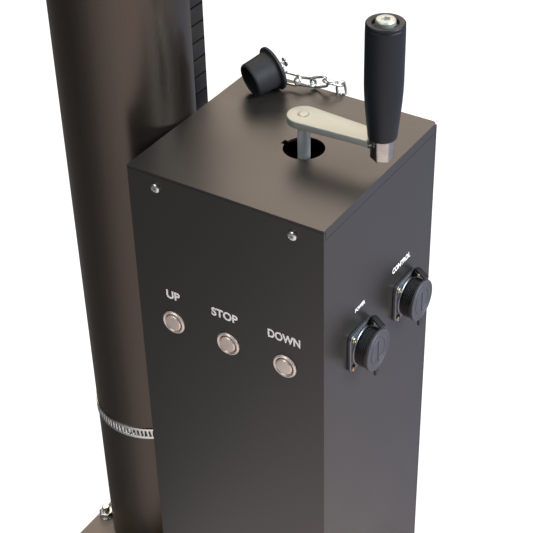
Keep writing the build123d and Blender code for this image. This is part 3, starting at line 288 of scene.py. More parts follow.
def wire(path, radius, closed=False, steps=10):
    """A round wire: a circle carried along a path, square to it and level."""
    path = np.asarray(path, float)
    if closed:
        ahead = np.roll(path, -1, 0) - np.roll(path, 1, 0)
    else:
        ahead = np.gradient(path, axis=0)
    ahead /= np.linalg.norm(ahead, axis=1, keepdims=True)
    side = np.cross(ahead, (0, 0, 1))
    side /= np.linalg.norm(side, axis=1, keepdims=True)
    rise = np.cross(side, ahead)
    turn = np.linspace(0, 2 * PI, steps, endpoint=False)[None, :, None]
    grid = path[:, None] + radius * (side[:, None] * np.cos(turn) + rise[:, None] * np.sin(turn))
    faces = grid_faces(len(path), steps, True) if closed else capped_faces(len(path), steps)
    return grid.reshape(-1, 3), faces


def joined(*shapes):
    """Several shapes as one: each one's faces count on from the points before it."""
    points, faces, start = [], [], 0
    for some_points, some_faces in shapes:
        points.append(np.asarray(some_points, float))
        faces.extend([start + int(i) for i in face] for face in some_faces)
        start += len(some_points)
    return np.concatenate(points), faces


# Pieces

def added(name, data):
    """An object for a mesh, a lamp or a camera, added to the scene."""
    made = bpy.data.objects.new(name, data)
    bpy.context.scene.collection.objects.link(made)
    return made


def smoothed(mesh):
    """Smooth faces, with sharp edges where they meet at more than the sharp angle."""
    mesh.polygons.foreach_set("use_smooth", np.ones(len(mesh.polygons), bool))
    mesh.set_sharp_from_angle(angle=math.radians(SHARP_ANGLE))


def piece(name, shape, surface, body, replaces=()):
    """A mesh from points in metres and faces, with its finish, the body it rides on and what it
    stands for. Doubles at poles are merged and all faces are turned outwards."""
    points, faces = shape
    mesh = bpy.data.meshes.new(name)
    mesh.from_pydata(points.tolist(), [], [tuple(int(i) for i in face) for face in faces])
    bm = bmesh.new()
    bm.from_mesh(mesh)
    bmesh.ops.remove_doubles(bm, verts=bm.verts, dist=2e-6)
    bmesh.ops.recalc_face_normals(bm, faces=bm.faces)
    bm.to_mesh(mesh)
    bm.free()
    smoothed(mesh)
    mesh.materials.append(surface)
    made = added(name, mesh)
    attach(made, body)
    if replaces:
        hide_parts(*replaces)


def softened(node, body, surface, width):
    """A merged copy of a CAD node with its sharp edges rounded, standing for the node."""
    mesh = nodes[node].data.copy()
    bm = bmesh.new()
    bm.from_mesh(mesh)
    bmesh.ops.remove_doubles(bm, verts=bm.verts, dist=1e-6)
    bmesh.ops.dissolve_limit(bm, angle_limit=math.radians(0.5), verts=bm.verts, edges=bm.edges)
    bm.to_mesh(mesh)
    bm.free()
    smoothed(mesh)
    mesh.materials.clear()
    mesh.materials.append(surface)
    made = added(f"{node}_finished", mesh)
    bevel = made.modifiers.new("rounding", "BEVEL")
    bevel.width = width * MM
    bevel.segments = 2
    bevel.limit_method = "ANGLE"
    bevel.angle_limit = math.radians(40)
    bevel.use_clamp_overlap = True
    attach(made, body)
    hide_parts(node)


# Finishes

GRAIN_SHARE = 0.35
MIDDLE_TONE = 0.67
RELIEF_DEPTH = 0.0004


def linear(red, green, blue):
    """A screen colour from 0 to 255 as linear light."""
    c = np.array([red, green, blue]) / 255
    c = np.where(c <= 0.04045, c / 12.92, ((c + 0.055) / 1.055) ** 2.4)
    return (*c.tolist(), 1.0)


def socket(group, name, kind, into, value=None):
    """A named input or output of a node group, with the value it starts from."""
    made = group.interface.new_socket(name, in_out=into, socket_type=f"NodeSocket{kind}")
    if value is not None:
        made.default_value = value


def tone_group():
    """Two tones mixed by soft clouds and fine specks, with a matching roughness and height."""
    group = bpy.data.node_groups.new("tone_and_grain", "ShaderNodeTree")
    socket(group, "Tone", "Color", "INPUT")
    socket(group, "Second Tone", "Color", "INPUT")
    socket(group, "Cloud Scale", "Float", "INPUT", 12.0)
    socket(group, "Grain Scale", "Float", "INPUT", 900.0)
    socket(group, "Stretch", "Vector", "INPUT", (1, 1, 1))
    socket(group, "Roughness", "Float", "INPUT", 0.4)
    socket(group, "Spread", "Float", "INPUT", 0.1)
    socket(group, "Colour", "Color", "OUTPUT")
    socket(group, "Roughness", "Float", "OUTPUT")
    socket(group, "Height", "Float", "OUTPUT")
    new, link = group.nodes.new, group.links.new
    given, result = new("NodeGroupInput"), new("NodeGroupOutput")
    place = new("ShaderNodeTexCoord")
    scaled = new("ShaderNodeMapping")
    clouds, grain = new("ShaderNodeTexNoise"), new("ShaderNodeTexNoise")
    clouds.inputs["Detail"].default_value = 3.0
    grain.inputs["Detail"].default_value = 2.0
    mix = new("ShaderNodeMix")
    mix.data_type = "RGBA"
    blend, offset, rough = (new("ShaderNodeMath") for _ in range(3))
    link(place.outputs["Object"], scaled.inputs["Vector"])
    link(given.outputs["Stretch"], scaled.inputs["Scale"])
    for noise, scale in ((clouds, "Cloud Scale"), (grain, "Grain Scale")):
        link(scaled.outputs["Vector"], noise.inputs["Vector"])
        link(given.outputs[scale], noise.inputs["Scale"])
    blend.operation = "MULTIPLY_ADD"
    blend.inputs[1].default_value = GRAIN_SHARE
    link(grain.outputs["Fac"], blend.inputs[0])
    link(clouds.outputs["Fac"], blend.inputs[2])
    offset.operation = "SUBTRACT"
    offset.inputs[1].default_value = MIDDLE_TONE
    link(blend.outputs[0], offset.inputs[0])
    rough.operation = "MULTIPLY_ADD"
    link(offset.outputs[0], rough.inputs[0])
    link(given.outputs["Spread"], rough.inputs[1])
    link(given.outputs["Roughness"], rough.inputs[2])
    link(blend.outputs[0], mix.inputs["Factor"])
    link(given.outputs["Tone"], mix.inputs["A"])
    link(given.outputs["Second Tone"], mix.inputs["B"])
    link(mix.outputs["Result"], result.inputs["Colour"])
    link(rough.outputs[0], result.inputs["Roughness"])
    link(grain.outputs["Fac"], result.inputs["Height"])
    return group


TONES = tone_group()


def finish(name, tone, second, roughness, metallic=0.0, spread=0.1, cloud=12.0, grain=900.0,
           stretch=(1, 1, 1), bump=0.05, specular=0.5):
    """A surface from the shared tones: two colours, a roughness and a fine grain in relief."""
    made = bpy.data.materials.new(name)
    made.use_nodes = True
    new, link = made.node_tree.nodes.new, made.node_tree.links.new
    shader = made.node_tree.nodes["Principled BSDF"]
    tones = new("ShaderNodeGroup")
    tones.node_tree = TONES
    tones.inputs["Tone"].default_value = linear(*tone)
    tones.inputs["Second Tone"].default_value = linear(*second)
    tones.inputs["Cloud Scale"].default_value = cloud
    tones.inputs["Grain Scale"].default_value = grain
    tones.inputs["Stretch"].default_value = stretch
    tones.inputs["Roughness"].default_value = roughness
    tones.inputs["Spread"].default_value = spread
    relief = new("ShaderNodeBump")
    relief.inputs["Strength"].default_value = bump
    relief.inputs["Distance"].default_value = RELIEF_DEPTH
    link(tones.outputs["Colour"], shader.inputs["Base Color"])
    link(tones.outputs["Roughness"], shader.inputs["Roughness"])
    link(tones.outputs["Height"], relief.inputs["Height"])
    link(relief.outputs["Normal"], shader.inputs["Normal"])
    shader.inputs["Metallic"].default_value = metallic
    shader.inputs["Specular IOR Level"].default_value = specular
    return made


powder_coat = finish("powder_coat", (30, 28, 26), (37, 35, 33), 0.36, spread=0.12, cloud=9.0,
                     grain=1400.0, bump=0.10)
base_paint = finish("base_paint", (104, 94, 86), (122, 112, 103), 0.42, cloud=14.0, grain=1100.0,
                    bump=0.08)
anodised_mast = finish("anodised_mast", (61, 56, 51), (80, 73, 66), 0.30, metallic=0.85,
                       spread=0.18, cloud=6.0, grain=160.0, stretch=(9, 9, 0.35), bump=0.02)
anodised_collar = finish("anodised_collar", (50, 46, 43), (66, 60, 55), 0.34, metallic=0.8,
                         stretch=(1, 1, 6), cloud=20.0, grain=500.0, bump=0.02)
machined_alloy = finish("machined_alloy", (176, 176, 178), (204, 204, 205), 0.32, metallic=1.0,
                        cloud=30.0, grain=700.0, stretch=(1, 1, 5), bump=0.03)
zinc_plate = finish("zinc_plate", (174, 178, 176), (204, 208, 204), 0.28, metallic=1.0,
                    spread=0.25, cloud=60.0, grain=600.0, bump=0.04)
arm_plate = finish("arm_plate", (146, 152, 146), (170, 175, 168), 0.45, metallic=0.6,
                   spread=0.25, cloud=45.0, grain=380.0, stretch=(0.5, 1.6, 1), bump=0.08)
shaft_zinc = finish("shaft_zinc", (178, 186, 188), (204, 212, 213), 0.34, metallic=0.3, cloud=50.0,
                    grain=500.0, stretch=(3, 3, 0.3), bump=0.04)
bright_nut = finish("bright_nut", (136, 133, 130), (172, 170, 167), 0.22, metallic=1.0,
                    spread=0.2, cloud=120.0, grain=500.0, bump=0.04)
button_steel = finish("button_steel", (190, 176, 165), (214, 203, 194), 0.36, metallic=0.5,
                      spread=0.15, cloud=90.0, bump=0.04)
screw_steel = finish("screw_steel", (120, 120, 124), (150, 150, 153), 0.3, metallic=1.0,
                     cloud=30.0, grain=500.0, bump=0.03)
nut_bronze = finish("nut_bronze", (158, 120, 66), (178, 140, 84), 0.35, metallic=1.0, bump=0.03)
gear_iron = finish("gear_iron", (84, 84, 86), (106, 106, 107), 0.4, metallic=1.0, bump=0.06)
plug_rubber = finish("plug_rubber", (26, 28, 31), (38, 40, 44), 0.55, spread=0.2, cloud=70.0,
                     grain=1300.0, bump=0.12, specular=0.35)
cap_rubber = finish("cap_rubber", (48, 49, 55), (62, 63, 70), 0.55, spread=0.15, cloud=60.0,
                    grain=1300.0, bump=0.10)
seal_black = finish("seal_black", (18, 18, 20), (27, 27, 29), 0.5, cloud=50.0)
grip_plastic = finish("grip_plastic", (14, 19, 24), (19, 24, 30), 0.44, cloud=40.0,
                      grain=1500.0, bump=0.10, specular=0.24)
chain_plastic = finish("chain_plastic", (17, 16, 14), (28, 26, 22), 0.5, spread=0.15, cloud=40.0,
                       bump=0.08, specular=0.3)
board_green = finish("board_green", (20, 64, 40), (28, 80, 50), 0.3, bump=0.03)
motor_black = finish("motor_black", (30, 30, 32), (42, 42, 44), 0.4)
cast_flange = finish("cast_flange", (78, 86, 96), (124, 128, 132), 0.34, metallic=0.8,
                     spread=0.3, cloud=160.0, grain=700.0, bump=0.12)
label_white = finish("label_white", (226, 226, 226), (244, 244, 244), 0.5, bump=0.03)
brass_plate = finish("brass_plate", (140, 126, 98), (180, 168, 140), 0.34, metallic=0.9,
                     cloud=90.0, grain=600.0, bump=0.04)

NODE_FINISH = {
    "gear_case": base_paint,
    "base_plate": base_paint,
    "outer_tube": anodised_mast,
    "middle_tube": anodised_mast,
    "inner_tube": anodised_mast,
    "outer_collar": anodised_collar,
    "middle_collar": anodised_collar,
    "tube_foot": machined_alloy,
    "top_flange": machined_alloy,
    "reducer": machined_alloy,
    "screw_bearing": nut_bronze,
    "carrier_bearing": nut_bronze,
    "middle_nut": nut_bronze,
    "inner_nut": nut_bronze,
    "middle_piston": seal_black,
    "inner_piston": seal_black,
    "lower_screw": screw_steel,
    "upper_screw": screw_steel,
    "idler_pin": screw_steel,
    "drive_shaft": screw_steel,
    "screw_gear": gear_iron,
    "idler_gear": gear_iron,
    "drive_pinion": gear_iron,
    "motor": motor_black,
    "control_board": board_green,
}


def dress_nodes():
    """Every CAD node starts with its own finish, and any that has none with plain zinc."""
    for name, made in nodes.items():
        made.data.materials.clear()
        made.data.materials.append(NODE_FINISH.get(name, zinc_plate))


# The drive box

def make_box():
    """The sheets of the box and the base plate: the CAD shapes with rounded edges."""
    softened("lid", "base", powder_coat, 0.5)
    softened("box_shell", "base", powder_coat, 0.5)
    softened("back_panel", "base", powder_coat, 0.4)
    softened("base_plate", "base", base_paint, 0.5)


def screw_head(radius, rise, recess, steps=48, rings=16):
    """A pan head with a cross recess, as height over a polar grid: a dome that drops with the
    fourth power of the radius, less a cross that slopes to its bottom, and a straight side
    below."""
    r = radius * np.sqrt(np.linspace(0, 1, rings))[:, None]
    turn = np.linspace(0, 2 * PI, steps, endpoint=False)[None, :]
    x, y = r * np.cos(turn), r * np.sin(turn)
    dome = rise * (1 - 0.45 * (r / radius) ** 4) + 0 * turn
    wide, long = 0.16 * radius, 0.56 * radius
    across = np.maximum(wide - np.minimum(abs(x), abs(y)), 0) / wide
    reach = np.clip((long - np.maximum(abs(x), abs(y))) / (0.2 * long), 0, 1)
    height = dome - recess * np.clip(across * 3, 0, 1) * reach
    top = np.stack([x, y, height], 2)
    side = np.stack([x[-1], y[-1], 0 * x[-1]], 1)[None]
    grid = np.concatenate([side, top[::-1]])
    return grid.reshape(-1, 3), grid_faces(rings + 1, steps)


def make_box_screws():
    """The screws in the lid's front and back and down both edges of the back panel, and the
    plug chain's anchor, a screw that stands off on its shank."""
    lid_x = (BOX_LEFT + LID_SCREW_IN, BOX_RIGHT - LID_SCREW_IN)
    lid_z = LID_TOP - LID_SCREW_DOWN
    places = [((x, BOX_FRONT, lid_z), FRONT) for x in lid_x]
    places += [((x, BOX_BACK, lid_z), BACK) for x in lid_x]
    for x in (BOX_LEFT + PANEL_SCREW_IN, BOX_RIGHT - PANEL_SCREW_IN):
        for share in PANEL_SCREW_SHARES:
            places.append(((x, BOX_BACK, BOX_FOOT + share * BOX_HEIGHT), BACK))
    head = screw_head(*BOX_SCREW)
    heads = [turned(head, place, out, BOX_SCREW_TURN) for place, out in places]
    x, z = BOX_LEFT + ANCHOR_IN, LID_TOP - ANCHOR_DOWN
    shank = spun(((0, 0), (2, 0), (2, ANCHOR_STAND), (0, ANCHOR_STAND)), 24)
    heads.append(turned(shank, (x, BOX_BACK, z), BACK))
    heads.append(turned(head, (x, BOX_BACK + ANCHOR_STAND, z), BACK))
    piece("box_screw_heads", joined(*heads), zinc_plate, "base", ("box_screws",))


# Push buttons

def make_buttons():
    """Each button is two profiles spun round its own axis: a bezel with a rounded lip, and a cap
    that falls a little towards its rim."""
    bezel = spun(rounded(((BEZEL_BORE_R, -BEZEL_LENGTH), (BEZEL_BORE_R, 1.2), (8.9, 2.0),
                          (9.7, 2.4), (BEZEL_R, 1.2), (BEZEL_R, 0), (BEZEL_BARREL_R, 0),
                          (BEZEL_BARREL_R, -BEZEL_LENGTH), (BEZEL_BORE_R, -BEZEL_LENGTH)),
                         0.5), 72)
    cap = spun(rounded(((0, 2.9), (6.6, 2.7), (PUSHCAP_R, 1.8), (PUSHCAP_R, PUSHCAP_FOOT),
                        (0, PUSHCAP_FOOT)), 0.5), 72)
    for name, x in BUTTON_X.items():
        place = (x, BOX_FRONT, CONTROL_Z)
        piece(f"{name}_bezel", turned(bezel, place, FRONT), button_steel, "base",
              (f"{name}_button_body",))
        piece(f"{name}_pushcap", turned(cap, place, FRONT), button_steel,
              f"{name}_button", (f"{name}_button",))


# Connectors

def make_connectors():
    """Each connector has a square flange with a round boss, a barrel with five grooves round its
    outside, and a ring of pins in its socket. The flange is a rounded slab, and the rest are spun
    profiles."""
    boss = spun(rounded(((SOCKET_R, 0.5), (SOCKET_R, 5.6), (16.6, 5.6), (BOSS_R, 4.8),
                         (BOSS_R, 3.2)), 0.5), 64)
    flange = joined(slab(rounded_square(FLANGE_SIDE, 5), 0, FLANGE_THICK, 0.7), boss)
    side = [(SOCKET_R, 3.0), (BARREL_R, 3.0), (BARREL_R, 6.4)]
    for step in range(5):
        z = 6.6 + GROOVE_GAP * step
        side += [(BARREL_R, z), (GROOVE_R, z + 0.35), (GROOVE_R, z + 0.9), (BARREL_R, z + 1.25)]
    side += [(BARREL_R, BARREL_TOP), (SOCKET_R, BARREL_TOP), (SOCKET_R, -7.9), (0, -7.9)]
    barrel = spun(side, 64)
    pin, pin_faces = spun(rounded(((PIN_R, -8), (PIN_R, 9.5), (0, 9.5)), 0.5), 12)
    pins = []
    for step in range(PIN_COUNT):
        turn = math.radians(360 / PIN_COUNT * step + 18)
        across = (PIN_RING_R * math.cos(turn), PIN_RING_R * math.sin(turn), 0)
        pins.append((pin + across, pin_faces))
    for name, y in CONNECTOR_Y.items():
        place = (BOX_RIGHT, y, CONTROL_Z)
        piece(f"{name}_flange", turned(flange, place, RIGHT, BACK), cast_flange,
              "base", (f"{name}_connector",))
        piece(f"{name}_barrel", turned(barrel, place, RIGHT, BACK), seal_black, "base")
        piece(f"{name}_pins", turned(joined(*pins), place, RIGHT, BACK), nut_bronze, "base")
        make_cap(name, place)
        make_strap(name, place)
    make_connector_screws()


def make_cap(name, place):
    """The rubber cap: a disc with a raised rim, ring and bar on its face, and below it a ribbed
    skirt with a pull tab. Disc and skirt are spun profiles."""
    face = [(0, CAP_FACE), (10.3, CAP_FACE), (10.6, CAP_TOP), (11.9, CAP_TOP), (12.2, CAP_FACE),
            (15.4, CAP_FACE), (15.8, 18.9), (17.9, 18.9), (CAP_R, 18.3), (CAP_R, 16.5),
            (18.0, CAP_BACK), (0, CAP_BACK)]
    disc = spun(rounded(face, 0.3), 96)
    bar = slab(((-0.6, -10.6), (0.6, -10.6), (0.6, 10.6), (-0.6, 10.6)), 18.0, 18.95, 0.2)
    piece(f"{name}_rubber_cap", turned(joined(disc, bar), place, RIGHT, BACK), cap_rubber,
          f"{name}_cap", (f"{name}_cap",))
    side = [(SKIRT_INNER_R, SKIRT_FOOT), (SKIRT_INNER_R, 16.2), (17.0, 16.2)]
    for step in range(5):
        high = 15.3 - 1.65 * step
        side += [(SKIRT_RIB_R, high), (SKIRT_RIB_R, high - 0.8), (SKIRT_GROOVE_R, high - 1.1),
                 (SKIRT_GROOVE_R, high - 1.4)]
    skirt = spun(side + [(16.6, SKIRT_FOOT), (SKIRT_INNER_R, SKIRT_FOOT)], 96)
    tab = slab(np.concatenate([arc((0, -24.0), 3.0, 180, 360, 10), [(3.0, -16), (-3.0, -16)]]),
               16.1, 18.3, 0.6)
    piece(f"{name}_cap_skirt", turned(joined(skirt, tab), place, RIGHT, BACK), seal_black,
          f"{name}_cap")


def make_strap(name, place):
    """A flat strap from an eye under the flange's upper rear screw up and over the barrel to the
    cap's rim. Its middle line is a cubic curve of four points, and its section is a flattened
    circle whose sine and cosine are raised to small powers, so that it is nearly a rectangle."""
    rows, columns = 28, 20
    share = np.linspace(0, 1, rows)[:, None]
    a, b, c, d = np.array([(14.5, 15.0, 4.6), (15.0, 22.6, 3.6), (11.5, 20.6, 9.0),
                           (8.2, 18.2, 17.6)])
    path = ((1 - share) ** 3 * a + 3 * (1 - share) ** 2 * share * b
            + 3 * (1 - share) * share**2 * c + share**3 * d)
    across = np.array([0.93, -0.36, 0])
    ahead = np.gradient(path, axis=0)
    ahead /= np.linalg.norm(ahead, axis=1, keepdims=True)
    thick = np.cross(ahead, across)
    thick /= np.linalg.norm(thick, axis=1, keepdims=True)
    turn = np.linspace(0, 2 * PI, columns, endpoint=False)
    u = 4.6 * np.sign(np.cos(turn)) * abs(np.cos(turn)) ** 0.35
    v = 1.0 * np.sign(np.sin(turn)) * abs(np.sin(turn)) ** 0.6
    grid = path[:, None] + across * u[None, :, None] + thick[:, None] * v[None, :, None]
    band = (grid.reshape(-1, 3), capped_faces(rows, columns))
    eye = slab(arc((FLANGE_SCREW_OUT, FLANGE_SCREW_OUT), 5.0, 0, 345, 23), 3.6, EYE_TOP, 0.4)
    piece(f"{name}_strap", turned(joined(band, eye), place, RIGHT, BACK), seal_black,
          "base", (f"{name}_cap_strap",))


def make_connector_screws():
    """Four screws in each flange. The upper rear one is higher, because it holds the strap."""
    head = screw_head(*FLANGE_SCREW, 32, 12)
    heads = []
    for y in CONNECTOR_Y.values():
        for side_y in (-FLANGE_SCREW_OUT, FLANGE_SCREW_OUT):
            for side_z in (-FLANGE_SCREW_OUT, FLANGE_SCREW_OUT):
                stand = EYE_TOP if side_y > 0 and side_z > 0 else FLANGE_THICK
                place = (BOX_RIGHT + stand, y + side_y, CONTROL_Z + side_z)
                heads.append(turned(head, place, RIGHT, FLANGE_SCREW_TURN))
    piece("connector_screw_heads", joined(*heads), brass_plate, "base",
          ("connector_screws",))


# Lettering

def lettering(words, centre, width, height, right):
    """Words as a thin raised mesh, fitted to a width and a capital height about a centre."""
    name = f"label_{words.lower()}"
    curve = bpy.data.curves.new(name, "FONT")
    curve.body = words
    curve.extrude = 0.02
    curve.offset = 0.03
    text = added(name, curve)
    bpy.context.view_layer.update()
    mesh = bpy.data.meshes.new_from_object(text)
    bpy.data.objects.remove(text)
    points = np.empty(len(mesh.vertices) * 3)
    mesh.vertices.foreach_get("co", points)
    points = points.reshape(-1, 3)
    low, high = points.min(0), points.max(0)
    points = (points - (low + high) / 2) * ((width, height, LETTER_RISE) / (high - low))
    points[:, 2] += LETTER_RISE / 2
    right, up = np.asarray(right, float), np.array([0, 0, 1.0])
    out = np.cross(right, up)
    world = (points @ np.stack([right, up, out]) + centre) * MM
    mesh.vertices.foreach_set("co", world.ravel())
    mesh.name = name
    mesh.materials.clear()
    mesh.materials.append(label_white)
    made = added(name, mesh)
    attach(made, "base")


def make_labels():
    """The words over the buttons and over the connectors."""
    for words, x, width in BUTTON_WORDS:
        centre = (BOX_LEFT + x, BOX_FRONT, LID_TOP - BUTTON_WORDS_DOWN)
        lettering(words, centre, width, BUTTON_WORDS_HIGH, RIGHT)
    for words, y, down, width, height in CONNECTOR_WORDS:
        lettering(words, (BOX_RIGHT, BOX_FRONT + y, LID_TOP - down), width, height, BACK)


# The crank

def make_crank():
    """The crank's round shaft, its flat arm with a hub's arc and two edges that narrow to the
    tip, a rivet head over the shaft, a weld bead whose line ripples as a sine, and the nut."""
    x, y = CRANK
    shaft = spun(rounded(((0, SHAFT_FOOT), (SHAFT_R, SHAFT_FOOT), (SHAFT_R, ARM_FOOT + 0.4)),
                         0.3), 48)
    piece("crank_shaft_rod", turned(shaft, (x, y, 0)), shaft_zinc, "crank",
          ("crank_shaft",))

    tip = CRANK_ARM - 8.0
    lean = math.degrees(math.asin((ARM_HUB_R - ARM_TIP_HALF) / tip))
    outline = np.concatenate([arc((0, 0), ARM_HUB_R, 90 - lean, 270 + lean, 36),
                              [(tip, -ARM_TIP_HALF), (tip, ARM_TIP_HALF)]])
    arm = slab(outline, ARM_FOOT, ARM_TOP, 0.7)
    rivet = spun(rounded(((0, ARM_TOP + 0.7), (3.4, ARM_TOP + 0.6), (4.6, ARM_TOP + 0.1),
                          (4.9, ARM_TOP - 0.4)), 0.4), 40)
    piece("crank_arm_plate", turned(joined(arm, rivet), (x, y, 0)), arm_plate, "crank",
          ("crank_arm",))
    share = np.linspace(-1, 1, 15)[:, None]
    ripple = 0.35 * np.sin(share * 19)
    line = np.concatenate([0 * share + tip + 0.6 + ripple, share * 8.2,
                           0 * share + ARM_FOOT + 0.2], 1)
    piece("weld_bead", turned(wire(line, BEAD_R), (x, y, 0)), zinc_plate, "crank")

    nut = slab(hexagon(NUT_ACROSS, 30), NUT_FOOT, NUT_TOP, 0.9)
    piece("hexagon_nut", turned(nut, (x + CRANK_ARM, y, 0)), bright_nut, "crank",
          ("crank_nut",))
    make_grip((x + CRANK_ARM, y, 0))


def make_grip(place):
    """The grip's radius over its height: a slim foot, a swell that follows a quarter of a sine,
    raised to a power, to the straight upper half, a groove below the rounded end and a deep seat
    for the bolt."""
    side = [(GRIP_BORE_R, GRIP_FOOT), (10.6, GRIP_FOOT), (11.2, GRIP_FOOT + 0.8)]
    heights = np.linspace(1.5, GRIP_SWELL, 14)
    rise = np.sin(PI / 2 * (heights / GRIP_SWELL)) ** 1.15
    swell = GRIP_SWELL_FROM + (GRIP_R - GRIP_SWELL_FROM) * rise
    side += list(zip(swell, GRIP_FOOT + heights))
    top = GRIP_FOOT + GRIP_LENGTH
    side += [(GRIP_R, top - 9), (14.9, top - 3.7), (GRIP_GROOVE_R, top - 3.3),
             (GRIP_GROOVE_R, top - 2.8), (14.9, top - 2.4), (14.8, top - 0.9), (14.1, top),
             (12.8, top - 0.1), (10.2, top - 0.5), (9.6, top - 1.0), (9.4, top - 3),
             (GRIP_BORE_R, top - 3)]
    grip = spun(rounded(side, 0.7, 3), 96)
    piece("turning_grip", turned(grip, place), grip_plastic, "grip", ("grip",))
    bolt = spun(rounded(((5.0, top - 100), (5.0, top - 2.5), (BOLT_HEAD_R, top - 2.5),
                         (BOLT_HEAD_R, top + 1.2), (6.9, top + 2.3), (3.3, top + 2.6),
                         (3.0, top + 2.3), (2.7, top + 0.2), (0, top - 0.2)), 0.4), 48)
    piece("grip_bolt_head", turned(bolt, place), arm_plate, "crank",
          ("grip_bolt",))


# The plug and its chain

def make_plug():
    """The rubber plug and its stud, spun about an axis that leans so that the plug's flange and
    its far end both come down to the lid."""
    tilt = math.atan2(PLUG_FLANGE_R - PLUG_END_R, PLUG_LENGTH)
    turn = math.radians(PLUG_TURN)
    flat = np.array([math.cos(turn), math.sin(turn), 0])
    up = np.array([0, 0, 1.0])
    axis = flat * math.cos(tilt) - up * math.sin(tilt)
    rise = flat * math.sin(tilt) + up * math.cos(tilt)
    contact = np.array([BOX_LEFT + 36.7, BOX_BACK - 18.4, LID_TOP + 0.3])
    origin = contact + rise * PLUG_FLANGE_R
    rim = PLUG_FLANGE_R
    plug = spun(rounded(((0, -3.2), (18.9, -3.2), (rim, -2.7), (rim, -0.8), (18.8, -0.3),
                         (17.2, -0.2), (16.3, 1.0), (15.4, 11), (14.7, 20.4),
                         (13.9, PLUG_LENGTH), (12.7, PLUG_LENGTH), (12.1, 21.0), (13.0, 7.2),
                         (12.4, 6.6), (0, 6.6)), 0.9), 96)
    stud = spun(rounded(((0, -14.4), (3.8, -14.4), (4.2, -13.9), (4.2, -13.0), (1.5, -13.0),
                         (1.5, -3.0), (0, -3.0)), 0.3), 24)
    piece("rubber_plug", turned(plug, origin, axis, rise), plug_rubber, "base",
          ("plug",))
    piece("plug_stud", turned(stud, origin, axis, rise), zinc_plate, "base")
    make_links(origin, axis, rise)


def link_shape(start, end, width_dir):
    """One chain link: round wire along a stadium between two joints, flattened across width_dir."""
    start, end = np.asarray(start, float), np.asarray(end, float)
    along = (end - start) / np.linalg.norm(end - start)
    half, bend = (LINK_LENGTH - LINK_WIDTH) / 2, LINK_WIDTH / 2 - LINK_WIRE_R
    path = np.concatenate([arc((half, 0), bend, -90, 90, 10), arc((-half, 0), bend, 90, 270, 10)])
    path = np.concatenate([path, np.zeros((len(path), 1))], 1)
    normal = np.cross(along, width_dir)
    return turned(wire(path, LINK_WIRE_R, closed=True), (start + end) / 2, normal, along)


def make_links(origin, axis, rise):
    """Links from the plug's stud over the lid's back edge down to the anchor screw: each one
    starts at the joint before it and runs one pitch towards its aim, which is measured from the
    lid's left back corner."""
    pitch = LINK_LENGTH - 2 * LINK_WIRE - LINK_SLACK
    middle = origin - axis * STUD_MIDDLE - rise * (LINK_LENGTH / 2 - LINK_WIRE - STUD_ROOM)
    links = [link_shape(middle + rise * 5, middle - rise * 5, np.cross(axis, rise))]
    joint = middle - rise * (pitch / 2)
    corner = np.array([BOX_LEFT, BOX_BACK, LID_TOP])
    aims = (
        ((57.5, -8.9, 6.9), (-0.34, 0.15, 0.39)),
        ((61.4, -4.5, 5.8), (-0.39, 1.24, 0.37)),
        ((79.9, -3.0, 11.3), (0, 0.07, 2)),
        ((89.6, 9.4, 3.6), (0.88, -0.74, 0.22)),
        ((86.1, 10.5, -13.6), (0.22, 0.52, 0.39)),
        ((88.0, 4.3, -28.1), (1.08, 0.29, -0.19)),
    )
    for aim, width_dir in aims:
        toward = corner + aim - joint
        following = joint + toward / np.linalg.norm(toward) * pitch
        links.append(link_shape(joint, following, width_dir))
        joint = following
    piece("link_chain", joined(*links), zinc_plate, "base", ("plug_chain",))


# The hose clamp

def make_clamp():
    """A band round the mast with slanted slots pressed in: its radius over angle and height is
    that of the band, less a step inside each slot and a little at both edges. A black strip
    within it shows at the bottom of the slots as painted shade in them."""
    low = LID_TOP - CLAMP_DOWN - CLAMP_WIDTH
    columns = CLAMP_SLOTS * SLOT_STEPS
    turn = np.linspace(0, 2 * PI, columns, endpoint=False)[None, :]
    rise = np.array([0, 0.4, 2.6, 3.0, 6.35, 9.7, 10.1, 12.3, CLAMP_WIDTH])[:, None]
    slant = turn + (rise / CLAMP_WIDTH - 0.5) * 0.03
    wave = np.mod(slant * CLAMP_SLOTS / (2 * PI), 1)
    inside = (rise > 2.8) & (rise < 9.9) & (wave < SLOT_SHARE)
    round_edge = 0.25 * ((rise < 0.2) | (rise > 12.5))
    outer = CLAMP_OUTER_R - SLOT_DEPTH * inside - round_edge
    grid = np.stack([outer * np.cos(turn), outer * np.sin(turn), low + rise + 0 * turn], 2)
    ring = CLAMP_INNER_R * np.concatenate([np.cos(turn), np.sin(turn), 0 * turn], 0).T
    lower, upper = ring + (0, 0, low), ring + (0, 0, low + CLAMP_WIDTH)
    grid = np.concatenate([lower[None], grid, upper[None]])
    strip = (grid.reshape(-1, 3), grid_faces(len(grid), columns, close=True))
    piece("clamp_strip", turned(strip), zinc_plate, "base", ("clamp_band",))
    # Painted shade: a black strip under the band that darkens the bottom of every slot
    slot_shade = spun(((57.2, low + 2), (SLOT_SHADE_R, low + 2), (SLOT_SHADE_R, low + 10.6),
                   (57.2, low + 10.6), (57.2, low + 2)), 192)
    piece("clamp_slot_painted_shade", turned(slot_shade), seal_black, "base")


# The base's bolts

